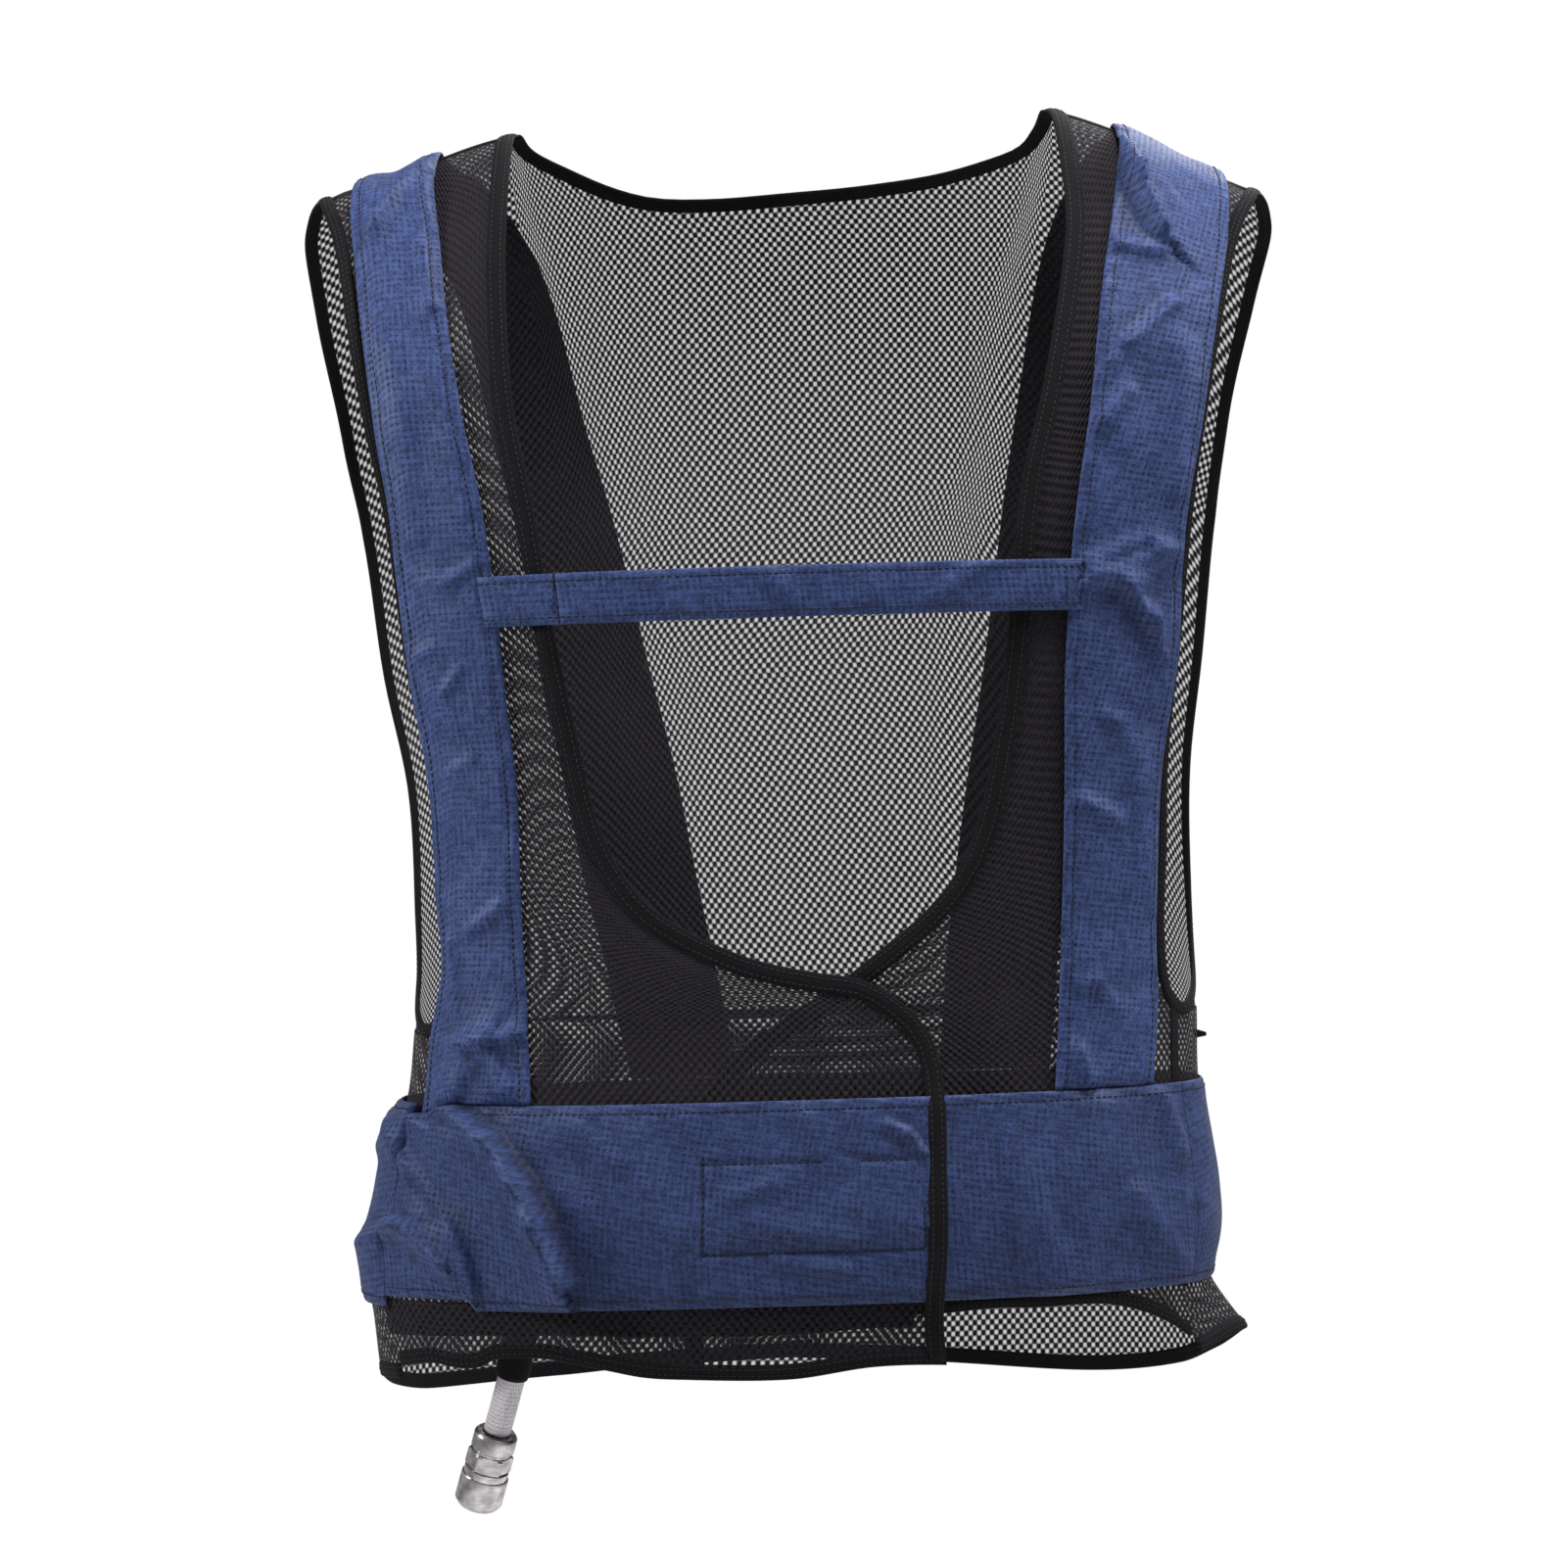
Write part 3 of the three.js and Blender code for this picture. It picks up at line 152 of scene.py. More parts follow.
def smooth(low, high, at):
    share = np.clip((at - low) / (high - low), 0, 1)
    return share * share * (3 - 2 * share)


# the body's surface: way is quarter turns from the front, minus is the worn right side, run is 0 on the
# shoulder line, 1 at the chest and 2 at the hem
def downOf(run):
    run = np.asarray(run, float)
    return np.where(run < 1, body["chest"] * (1 - np.cos(run * np.pi / 2)), mix(body["chest"], 1, run - 1))


def runOf(down):
    down = np.asarray(down, float)
    upper = np.arccos(1 - np.clip(down / body["chest"], 0, 1)) / (np.pi / 2)
    return np.where(down < body["chest"], upper, 1 + (down - body["chest"]) / (1 - body["chest"]))


def wayOf(reach, back=False):
    reach = np.asarray(reach, float)
    size = np.clip(np.abs(reach), 0, 1)
    rest = (1 - size ** body["square"]) ** (1 / body["square"])
    way = np.arctan2(size, rest) / (np.pi / 2)
    return np.sign(reach) * np.where(back, 2 - way, way)


def bodyPoint(way, run):
    way, run = np.broadcast_arrays(np.asarray(way, float), np.asarray(run, float))
    angle = way * np.pi / 2
    sine, cosine = np.sin(angle), np.cos(angle)
    n = body["square"]
    radius = (np.abs(sine) ** n + np.abs(cosine) ** n) ** (1 / n)
    down = downOf(run)
    cap = np.where(run < 1, np.sin(run * np.pi / 2), 1)
    right, left, front, back = (sectionTable.read("down", name, down)
                                for name in ("right", "left", "front", "back"))
    width, depth = np.where(sine < 0, right, left), np.where(cosine > 0, front, back)
    hem = np.maximum(0, (down - band["bottom"]) / (1 - band["bottom"]))
    corner = np.exp(-(((way - 1) / body["hemCorner"]) ** 2)) * body["hemFlare"] * hem
    x = body["span"] / 2 * width * sine / radius + corner
    y = body["lean"] * (1 - cap) - body["depth"] / 2 * depth * cap * cosine / radius
    slope = np.where(down < body["slopeEnd"], (1 - down / body["slopeEnd"]) ** 2, 0)
    rise = body["tipHeight"] + body["rise"] * shoulderTable.read("across", "rise", x / (body["span"] / 2))
    lift = body["hemDepth"] * hemTable.read("way", "lift", (way + 2) % 4 - 2) * hem
    z = (body["lineHeight"] - down * body["length"] + slope * (rise - body["lineHeight"])
         + body["tilt"] * x * (1 - slope) + lift)
    return np.stack([x, y, z], axis=-1)


probe = 0.004  # step of way and run for slopes


def bodySlopes(way, run):
    low, high = np.maximum(0, run - probe), np.minimum(2, run + probe)
    byWay = (bodyPoint(way + probe, run) - bodyPoint(way - probe, run)) / (2 * probe)
    byRun = (bodyPoint(way, high) - bodyPoint(way, low)) / (high - low)[..., None]
    return byWay, byRun


def bodyNormal(way, run):
    way, run = np.broadcast_arrays(np.asarray(way, float), np.asarray(run, float))
    byWay, byRun = bodySlopes(way, run)
    normal = np.cross(byWay, byRun)
    normal /= np.linalg.norm(normal, axis=-1, keepdims=True)
    point = bodyPoint(way, run)
    outward = point - np.array([0, body["lean"], 0])
    outward[..., 2] = body["rise"] * 2
    side = np.sign(np.sum(normal * outward, axis=-1, keepdims=True))
    return normal * side


def stepOnBody(way, run, vector):
    byWay, byRun = bodySlopes(way, run)
    a, b, c = (np.sum(u * v, axis=-1) for u, v in ((byWay, byWay), (byWay, byRun), (byRun, byRun)))
    p, q = np.sum(byWay * vector, axis=-1), np.sum(byRun * vector, axis=-1)
    scale = a * c - b * b
    return way + (c * p - b * q) / scale, run + (a * q - b * p) / scale


seamRun = (gap / 2) / (body["depth"] / 2 * np.pi / 2)


def clampRun(run):
    return np.clip(run, seamRun, 2)


def throughPoints(points, share):
    # a centripetal curve through points, read at shares of its length
    points = np.asarray(points, float)
    padded = np.vstack([2 * points[0] - points[1], points, 2 * points[-1] - points[-2]])
    dense = []
    for k in range(1, len(padded) - 2):
        p = padded[k - 1:k + 3]
        d = [max(np.linalg.norm(p[m + 1] - p[m]) ** 0.5, 1e-4) for m in range(3)]
        t1 = ((p[1] - p[0]) / d[0] - (p[2] - p[0]) / (d[0] + d[1]) + (p[2] - p[1]) / d[1]) * d[1]
        t2 = ((p[2] - p[1]) / d[1] - (p[3] - p[1]) / (d[1] + d[2]) + (p[3] - p[2]) / d[2]) * d[1]
        t = np.linspace(0, 1, 50, endpoint=(k == len(padded) - 3))[:, None]
        dense.append(p[1] + t1 * t + (3 * (p[2] - p[1]) - 2 * t1 - t2) * t**2
                     + (2 * (p[1] - p[2]) + t1 + t2) * t**3)
    dense = np.vstack(dense)
    length = np.concatenate([[0], np.cumsum(np.linalg.norm(np.diff(dense, axis=0), axis=1))])
    at = np.asarray(share, float) * length[-1]
    return np.stack([np.interp(at, length, dense[:, m]) for m in range(dense.shape[1])], axis=-1)


def bodyCurve(ways, downs):
    points = np.stack([ways, runOf(downs)], axis=-1)
    fine = throughPoints(points, np.linspace(0, 1, 3001))

    def read(share):
        at = np.asarray(share, float) * 3000
        return (np.interp(at, np.arange(3001), fine[:, 0]),
                clampRun(np.interp(at, np.arange(3001), fine[:, 1])))
    return read


def insetPlaces(curve, shares, distance, side):
    shares = np.asarray(shares, float)
    way, run = curve(shares)
    before = bodyPoint(*curve(np.maximum(0, shares - probe)))
    after = bodyPoint(*curve(np.minimum(1, shares + probe)))
    tangent = after - before
    tangent /= np.linalg.norm(tangent, axis=-1, keepdims=True)
    outward = np.cross(bodyNormal(way, run), tangent) * side * distance
    target = bodyPoint(way, run) + outward
    newWay, newRun = stepOnBody(way, run, outward)
    for _ in range(3):
        newRun = clampRun(newRun)
        newWay, newRun = stepOnBody(newWay, newRun, target - bodyPoint(newWay, newRun))
    isEnd = (shares == 0) | (shares == 1)
    return newWay, np.where(isEnd, run, clampRun(newRun))


def overHem(way, distance):
    way = np.asarray(way, float)
    _, byRun = bodySlopes(way, np.full_like(way, 2 - probe))
    return 2 - distance / np.linalg.norm(byRun, axis=-1)


def lapOffset(x):
    return -lap["drop"] * (1 - smooth(lap["end"], lap["start"], x))


print("body ready")


class Wire:
    # a number inside a shader, so that plain sums can be written with it
    def __init__(self, finish, socket):
        self.finish = finish
        self.socket = socket

    def maths(self, operation, other=None, swap=False):
        values = [self] if other is None else ([other, self] if swap else [self, other])
        node = self.finish.add("ShaderNodeMath", {"operation": operation}, dict(enumerate(values)))
        return self.finish.wire(node)

    def __add__(self, other):
        return self.maths("ADD", other)

    __radd__ = __add__

    def __sub__(self, other):
        return self.maths("SUBTRACT", other)

    def __rsub__(self, other):
        return self.maths("SUBTRACT", other, swap=True)

    def __mul__(self, other):
        return self.maths("MULTIPLY", other)

    __rmul__ = __mul__

    def __truediv__(self, other):
        return self.maths("DIVIDE", other)

    def __rtruediv__(self, other):
        return self.maths("DIVIDE", other, swap=True)

    def cosine(self):
        return self.maths("COSINE")

    def step(self, low, high):
        node = self.finish.add("ShaderNodeMapRange", {"interpolation_type": "SMOOTHSTEP"},
                               {"Value": self, "From Min": low, "From Max": high})
        return self.finish.wire(node)


class Finish:
    # one material; add makes any node, with its settings and its inputs' values
    def __init__(self, name, slotName):
        self.material = bpy.data.materials.new(name)
        self.material.use_nodes = True
        self.slotName = slotName
        self.tree = self.material.node_tree
        self.shader = self.tree.nodes["Principled BSDF"]

    def add(self, kind, settings=None, values=None):
        node = self.tree.nodes.new(kind)
        for key, value in (settings or {}).items():
            setattr(node, key, value)
        for key, value in (values or {}).items():
            self.plug(node.inputs[key], value)
        return node

    def plug(self, socket, value):
        if isinstance(value, Wire):
            self.tree.links.new(value.socket, socket)
        elif isinstance(value, (tuple, list)) and len(value) == 3 and socket.type == "RGBA":
            socket.default_value = (*value, 1)
        else:
            socket.default_value = value

    def wire(self, node, output=0):
        return Wire(self, node.outputs[output])

    def set(self, **values):
        for key, value in values.items():
            self.plug(self.shader.inputs[key.replace("_", " ")], value)
        return self

    def uv(self):
        node = self.add("ShaderNodeUVMap", {"uv_map": "cloth"})
        split = self.add("ShaderNodeSeparateXYZ", values={0: self.wire(node)})
        return self.wire(split, 0), self.wire(split, 1)

    def point(self, x, y, z):
        return self.wire(self.add("ShaderNodeCombineXYZ", None, {0: x, 1: y, 2: z}))

    def hollow(self):
        # painted shade: how deep the cloth lies beside its own folds, which darkens its colour there
        return self.wire(self.add("ShaderNodeAttribute", {"attribute_name": "hollow"}), 2)

    def noise(self, scale, detail=2.0, vector=None, roughness=0.5):
        if vector is None:
            vector = self.wire(self.add("ShaderNodeTexCoord"), "Object")
        node = self.add("ShaderNodeTexNoise", None, {"Vector": vector, "Scale": scale, "Detail": detail,
                                                     "Roughness": roughness})
        return self.wire(node)

    def blendColours(self, share, first, second):
        node = self.add("ShaderNodeMix", {"data_type": "RGBA"}, {0: share})
        self.plug(node.inputs[6], first)
        self.plug(node.inputs[7], second)
        return Wire(self, node.outputs[2])

    def bump(self, height, distance, strength):
        return self.wire(self.add("ShaderNodeBump", None,
                                  {"Height": height, "Distance": distance, "Strength": strength}))


def paint(red, green, blue):
    # screen colour to the shader's own
    return tuple(c / 12.92 if c <= 0.04045 else ((c + 0.055) / 1.055) ** 2.4
                 for c in (red / 255, green / 255, blue / 255))


turn = 2 * math.pi

# open knitted net: rows of holes, each row half a hole along from the next
netLook = {"pitch": 4.5 * mm, "row": 2.69 * mm, "level": 0.3, "soft": 0.62, "clear": 0.62,
           "thread": paint(17, 15, 19), "pale": paint(38, 34, 40), "wobble": 0.16, "rise": 0.03}


def makeNet(name, look):
    finish = Finish(name, "net")
    u, v = finish.uv()
    knit = (u * (turn / look["pitch"])).cosine() * (v * (turn / 2 / look["row"])).cosine()
    uneven = (finish.noise(260, 1) - 0.5) * look["wobble"]
    hole = (knit + uneven).step(look["level"] - look["soft"], look["level"] + look["soft"])
    fibre = finish.noise(2600, 2)
    finish.set(Base_Color=finish.blendColours(fibre, look["thread"], look["pale"]),
               Alpha=1 - hole * look["clear"],
               Normal=finish.bump(knit * -1 + fibre * 0.3, 0.0006, 0.7))
    finish.set(Roughness=0.75, Specular_IOR_Level=0.15)
    return finish


# blue spacer cloth: a fine grid of small dark dimples, heathered, with painted shade in the hollows beside its
# folds
blueLook = {"acrossPitch": 3.15 * mm, "alongPitch": 3.3 * mm, "pale": paint(60, 77, 124),
            "deep": paint(40, 52, 92), "dimple": paint(10, 13, 34), "depth": 0.00024, "threads": (180, 900),
            "patches": 70, "fibres": 1500, "grains": 700, "fading": 38, "spots": 230, "hollowShade": 0.62}
bandLook = {**blueLook, "pale": paint(54, 69, 113), "deep": paint(37, 48, 83)}


def makeBlue(name, look):
    finish = Finish(name, "blue_cloth")
    u, v = finish.uv()
    knit = (u * (turn / look["acrossPitch"])).cosine() + (v * (turn / look["alongPitch"])).cosine()
    longSide, shortSide = look["threads"]
    lengthwise = finish.noise(1.0, 3, finish.point(u * longSide, v * shortSide, 0.3))
    crosswise = finish.noise(1.0, 3, finish.point(u * shortSide, v * longSide, 0.7))
    streaks = lengthwise + crosswise
    patch = finish.noise(look["patches"], 3, roughness=0.6)
    fibre = finish.noise(look["fibres"], 3)
    grain = finish.noise(look["grains"], 4, roughness=0.7)
    faded = finish.noise(look["fading"], 2).step(0.3, 0.65)
    uneven = finish.noise(look["spots"], 2).step(0.34, 0.66)
    dimple = (knit + (fibre - 0.5) * 1.6 + (grain - 0.5) * 3.2).step(-0.4, 2.0) * (uneven * 0.55 + 0.45)
    heather = (streaks * 0.9 + patch * 0.25 + grain * 0.6 - 0.82).step(0.32, 0.68)
    cloth = finish.blendColours(heather, look["deep"], look["pale"])
    spotted = finish.blendColours(dimple * (faded * 0.3 + 0.42), cloth, look["dimple"])
    # painted shade: the colour darkens towards the dimple colour in the hollows beside the folds
    finish.set(Base_Color=finish.blendColours(finish.hollow() * look["hollowShade"], spotted, look["dimple"]),
               Roughness=dimple * 0.2 + 0.55,
               Normal=finish.bump(dimple * -1 + fibre * 0.35 + heather * 0.15, look["depth"], 0.8))
    finish.set(Sheen_Weight=0.02, Sheen_Roughness=0.4, Specular_IOR_Level=0.2)
    return finish


# black ribbed tape of the bindings
tapeLook = {"ribs": 1.1 * mm, "dark": paint(6, 5, 8), "pale": paint(21, 19, 24)}


def makeTape(name, look):
    finish = Finish(name, "binding")
    u, v = finish.uv()
    fibre = finish.noise(1800, 3)
    ribs = ((v + fibre * 0.0004) * (turn / look["ribs"])).cosine()
    worn = finish.noise(45, 3)
    finish.set(Base_Color=finish.blendColours((ribs * 0.25 + fibre * 0.6 + worn * 0.5).step(0.3, 1.1),
                                              look["dark"], look["pale"]),
               Normal=finish.bump(ribs * 0.5 + fibre, 0.0003, 0.7))
    finish.set(Roughness=0.75, Sheen_Weight=0.01, Specular_IOR_Level=0.12)
    return finish


def makeThread(name, colour, slotName):
    finish = Finish(name, slotName)
    fibre = finish.noise(4000, 2)
    finish.set(Base_Color=finish.blendColours(fibre, colour, tuple(1.6 * c for c in colour)),
               Normal=finish.bump(fibre, 0.0001, 0.6))
    finish.set(Roughness=0.6, Specular_IOR_Level=0.3)
    return finish


# stiff black hooks, in rows
hookLook = {"pitch": 1.6 * mm, "dark": paint(16, 16, 19), "pale": paint(46, 46, 51), "depth": 0.0006}


def makeHook(name, look):
    finish = Finish(name, "hook_tape")
    u, v = finish.uv()
    hooks = (u * (turn / look["pitch"])).cosine() * (v * (turn / look["pitch"])).cosine()
    finish.set(Base_Color=finish.blendColours(hooks.step(-0.2, 0.8), look["dark"], look["pale"]),
               Normal=finish.bump(hooks, look["depth"], 0.8))
    finish.set(Roughness=0.55, Specular_IOR_Level=0.4)
    return finish


# silvery braid: two sets of strands that cross
braidLook = {"strands": 34, "rise": 4.2 * mm, "bright": paint(238, 232, 238),
             "dark": paint(120, 112, 122), "depth": 0.0005}


def makeBraid(name, look):
    finish = Finish(name, "hose_braid")
    u, v = finish.uv()
    left = ((u * look["strands"] + v / look["rise"]) * turn).cosine()
    right = ((u * look["strands"] - v / look["rise"]) * turn).cosine()
    weave = left.maths("MAXIMUM", right)
    fibre = finish.noise(2500, 2)
    speckle = finish.noise(900, 3, roughness=0.7)
    light = (weave * 0.3 + fibre * 0.5 + speckle).step(0.35, 0.95)
    finish.set(Base_Color=finish.blendColours(light, look["dark"], look["bright"]),
               Normal=finish.bump(weave + fibre * 0.3, look["depth"], 0.9))
    finish.set(Roughness=0.42, Metallic=0.35, Sheen_Weight=0.1)
    return finish


# turned steel, with fine rings and worn spots
metalLook = {"bright": paint(224, 219, 220), "dull": paint(156, 151, 153), "rings": (60, 60, 3200),
             "wear": 160, "depth": 0.00004}


def makeMetal(name, look):
    finish = Finish(name, "coupler_steel")
    coord = finish.add("ShaderNodeTexCoord")
    stretched = finish.add("ShaderNodeMapping", None, {"Vector": finish.wire(coord, "Object"),
                                                       "Scale": look["rings"]})
    turning = finish.noise(1.0, 2, finish.wire(stretched))
    wear = finish.noise(look["wear"], 4)
    polished = (wear * 0.8 + turning * 0.2).step(0.35, 0.7)
    finish.set(Base_Color=finish.blendColours(polished, look["dull"], look["bright"]),
               Roughness=wear * 0.12 + 0.15, Normal=finish.bump(turning, look["depth"], 0.5))
    finish.set(Metallic=1.0)
    return finish


def makePlastic(name, colour):
    finish = Finish(name, "inlet_plastic")
    grain = finish.noise(1200, 3)
    finish.set(Base_Color=finish.blendColours(grain, colour, tuple(1.5 * c for c in colour)),
               Roughness=grain * 0.2 + 0.4, Normal=finish.bump(grain, 0.0001, 0.6))
    return finish


netFinish = makeNet("blackNet", netLook)
blueFinish = makeBlue("blueCloth", blueLook)
bandFinish = makeBlue("waistbandCloth", bandLook)
tapeFinish = makeTape("blackTape", tapeLook)
darkThread = makeThread("navyThread", paint(12, 13, 26), "blue_cloth")
blackThread = makeThread("blackThread", paint(18, 17, 20), "binding")
hookFinish = makeHook("hookTape", hookLook)
braidFinish = makeBraid("silverBraid", braidLook)
metalFinish = makeMetal("turnedSteel", metalLook)
plasticFinish = makePlastic("blackPlastic", paint(34, 34, 37))
liningFinish = makeThread("blackLining", paint(15, 14, 18), "blue_cloth")  # under the blue pieces
print("finishes ready")


def keep(name, mesh, finish, body=rideBody, replaced=()):
    made = bpy.data.objects.new(name, mesh)
    bpy.context.scene.collection.objects.link(made)
    mesh.materials.append(finish.material)
    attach(made, body)
    if replaced:
        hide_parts(*replaced)
    return made


def meshOf(name, points, faces, uvs=None, smoothed=True, foldShade=None):
    # points in millimetres, one uv a point in metres, and one share of painted shade a point
    mesh = bpy.data.meshes.new(name)
    mesh.from_pydata((np.asarray(points) * mm).tolist(), [], faces)
    if uvs is not None:
        loops = np.empty(len(mesh.loops), dtype=np.int32)
        mesh.loops.foreach_get("vertex_index", loops)
        layer = mesh.uv_layers.new(name="cloth")
        layer.data.foreach_set("uv", np.asarray(uvs, np.float32)[loops].ravel())
    if foldShade is not None:
        shadeLayer = mesh.attributes.new("hollow", "FLOAT", "POINT")
        shadeLayer.data.foreach_set("value", np.asarray(foldShade, np.float32))
    mesh.polygons.foreach_set("use_smooth", [smoothed] * len(mesh.polygons))
    mesh.update()
    return mesh


def stepsAlong(points, axis):
    length = np.linalg.norm(np.diff(points, axis=axis), axis=-1)
    zero = np.zeros_like(np.take(length, [0], axis=axis))
    return np.concatenate([zero, np.cumsum(length, axis=axis)], axis=axis)


def gridFaces(rows, columns, start=0):
    index = np.arange(rows * columns).reshape(rows, columns) + start
    return np.stack([index[:-1, :-1], index[:-1, 1:], index[1:, 1:], index[1:, :-1]], axis=-1).reshape(-1, 4)


def facing(points, faces, normals):
    a, b, c, _ = (points[faces[len(faces) // 2][k]] for k in range(4))
    return np.dot(np.cross(b - a, c - a), normals[faces[len(faces) // 2][0]]) > 0


# folds as they are seen from the front: a line from x, z to x, z in millimetres, its width, its height and how
# much steeper its left side is, going along the line
foldNames = "x1 z1 x2 z2 width height lean"
bandFolds = rowsOf(foldNames, [
    (-158, -431, -141, -443, 8, 3.5, 0.6), (-141, -443, -126, -464, 9, 5, 0.7),
    (-126, -464, -118, -481, 9, 5.5, 0.7), (-118, -481, -107, -510, 9, 5.5, 0.7),
    (-204, -495, -186, -484, 7, 3.2, 0.3), (-186, -484, -164, -502, 7, 3.6, 0.5),
    (-183, -462, -169, -481, 9, -2.4, 0), (-198, -451, -179, -436, 9, 3, -0.3),
    (-172, -434, -158, -438, 5, -2, 0), (-190, -440, -183, -462, 7, 2, 0.4),
    (-150, -470, -140, -505, 16, -1.2, 0), (178, -422, 188, -450, 8, 3, 0.5),
    (46, -433, 56, -437, 4, 1.4, 0.4), (56, -437, 65, -448, 4, 1.4, 0.4),
    (100, -436, 128, -506, 17, 2.2, 0.4), (150, -428, 140, -506, 14, 2.2, 0.4),
    (168, -470, 190, -505, 10, 1.8, 0.4), (84, -440, 92, -508, 13, 1.5, 0.3),
    (-12, -482, 30, -488, 8, 1.2, -0.4), (-5, -498, 26, -503, 6, 1.1, -0.4),
    (-30, -468, -8, -462, 7, 0.9, 0.3), (-74, -440, -52, -500, 16, 1.6, 0.4),
    (-100, -436, -84, -452, 9, 1.2, 0.4), (8, -430, 14, -448, 6, 1.0, 0.4),
])
ductFolds = rowsOf(foldNames, [
    (-178, 30, -200, -2, 6, 3.4, 0.4), (-196, 26, -206, 8, 8, -2.2, 0),
    (-176, -12, -172, -40, 7, 1.6, 0.4), (-172, -171, -162, -173, 4, 1.6, 0.4),
    (-162, -173, -149, -164, 4, 1.6, -0.4), (-166, -227, -158, -215, 4, 1.6, 0.5),
    (-162, -263, -152, -258, 4, 1.3, 0.4), (-179, -207, -169, -203, 5, 1.2, 0.4),
    (-161, -345, -159, -380, 3.5, 2, 0.3), (-166, -312, -156, -304, 10, -1.8, 0),
    (-151, -341, -138, -330, 4, 2, -0.5), (-158, -397, -126, -391, 5, 3, -0.4),
    (-150, -402, -153, -419, 6, -2.4, 0), (-142, -400, -136, -418, 6, 2, 0.4),
    (-190, -60, -180, -150, 10, 1.2, 0.3), (161, 44, 168, 22, 6, 4.2, 0.7),
    (168, 22, 179, -4, 6, 4.2, 0.7), (192, 20, 209, 5, 8, -2.6, 0), (157, -10, 179, -14, 6, 2, -0.4),
    (160, -59, 184, -39, 4, 2.4, -0.6), (151, -96, 161, -82, 6, 2.2, -0.5),
    (142, -164, 163, -154, 4.5, 2, -0.5), (146, -168, 166, -171, 6, 2.4, 0.2),
    (161, -174, 173, -189, 6, 3, 0.6), (173, -189, 178, -208, 6, 3, 0.6),
    (172, -151, 180, -155, 5, 1.6, 0.4), (150, -236, 158, -239, 5, 1.4, 0.3),
    (139, -277, 155, -286, 6, 1.8, 0.4), (137, -368, 146, -365, 3.5, 1.3, -0.3),
    (146, -365, 158, -380, 3.5, 1.3, 0.3), (138, -398, 144, -415, 5, 2.6, 0.6),
    (166, -250, 172, -330, 9, 1.3, 0.3), (190, -60, 186, -130, 9, 1.5, 0.3),
])
strapFolds = rowsOf(foldNames, [
    (-20, -158, 2, -180, 7, 1.1, 0.4), (34, -160, 40, -178, 6, 1.1, 0.4), (76, -176, 96, -160, 7, 1.2, 0.4),
    (-84, -168, -62, -172, 6, 0.9, 0.4),
])
foldScale = 1.5
foldReach = 20  # folds lie in front of this plane

# big folds, as they are seen from the front: the cloth stands high on the right of the way that the line of
# x and z goes, and drops sharply on the left of it
bandLobes = [
    {"line": [(-160, -427), (-158, -431), (-141, -443), (-126, -464), (-118, -481), (-107, -510)],
     "height": 8.5, "sharp": 4.2, "soft": 24},
    {"line": [(-180, -458), (-170, -475), (-158, -490), (-150, -516)], "height": 3.6, "sharp": 3, "soft": 12},
    {"line": [(-206, -500), (-190, -487), (-178, -484)], "height": 3, "sharp": 2.6, "soft": 10},
]
ductLobes = [
    {"line": [(-204.6, -6), (-199.4, 2.5), (-189, 12.8), (-179.6, 21.3)],
     "height": 4.5, "sharp": 3, "soft": 15},
    {"line": [(182, -9), (175.4, -2.2), (169.7, 10.5), (164.5, 23.2)], "height": 5, "sharp": 2.6, "soft": 15},
    {"line": [(155.4, -63.8), (170, -54), (184.3, -39)], "height": 3.2, "sharp": 2.4, "soft": 12},
    {"line": [(-143, -394), (-150, -405), (-156, -420)], "height": 4, "sharp": 3, "soft": 12},
    {"line": [(140, -172), (156, -163), (170, -160), (181, -155)], "height": 3, "sharp": 2.6, "soft": 9},
]


def besideLine(x, z, x1, z1, x2, z2):
    # distance from a line, and more than 0 on its left
    dx, dz = x2 - x1, z2 - z1
    share = np.clip(((x - x1) * dx + (z - z1) * dz) / (dx * dx + dz * dz), 0, 1)
    return np.hypot(x - x1 - dx * share, z - z1 - dz * share), dx * (z - z1) - dz * (x - x1)


def lobeHeight(x, z, lobe):
    nearest, onHigh = np.full(x.shape, 1e6), np.zeros(x.shape, bool)
    for start, end in zip(lobe["line"], lobe["line"][1:]):
        distance, side = besideLine(x, z, *start, *end)
        closer = distance < nearest
        nearest = np.where(closer, distance, nearest)
        onHigh = np.where(closer, side < 0, onHigh)
    return lobe["height"] * np.exp(-((nearest / np.where(onHigh, lobe["soft"], lobe["sharp"])) ** 2))


def foldHeight(points, folds, lobes):
    total = np.zeros(points.shape[:-1])
    x, z = points[..., 0], points[..., 2]
    for lobe in lobes:
        total += lobeHeight(x, z, lobe)
    for x1, z1, x2, z2, width, height, lean in zip(*(folds[name] for name in foldNames.split())):
        distance, side = besideLine(x, z, x1, z1, x2, z2)
        spread = width * 0.7 * np.where(side > 0, 1 - 0.55 * lean, 1 + 0.35 * lean)
        total += foldScale * height * np.exp(-((distance / spread) ** 2))
    return np.where(points[..., 1] < foldReach, total, 0)


def blurred(values, times):
    # each value takes on some of its neighbours'
    for _ in range(times):
        for axis in (0, 1):
            values = np.swapaxes(values, 0, axis)
            values = np.concatenate([values[:1], values, values[-1:]])
            values = np.swapaxes((values[:-2] + values[1:-1] * 2 + values[2:]) / 4, 0, axis)
    return values


seamSize = {"depth": 0.9, "width": 1.5}


def seamSink(points, seam):
    # a sewn line pulls the cloth in
    distance, _ = besideLine(points[..., 0], points[..., 2], *seam)
    sunk = seamSize["depth"] * np.exp(-((distance / seamSize["width"]) ** 2))
    return np.where(points[..., 1] < foldReach, sunk, 0)


# what all the cloth shares: wavelengths of its puckers and waves, how fast they and the folds fade at an
# edge, the lowest place of a folded piece, and how wide and deep a hollow is that gets its full painted shade
clothShape = {"pucker": 5.5, "puckerWidth": 8, "puckerFade": 2, "wave": 26, "waveFade": 6,
              "foldFade": (-3, 4), "lowest": 0.5, "hollowWidth": 18, "hollowDepth": 3.2}


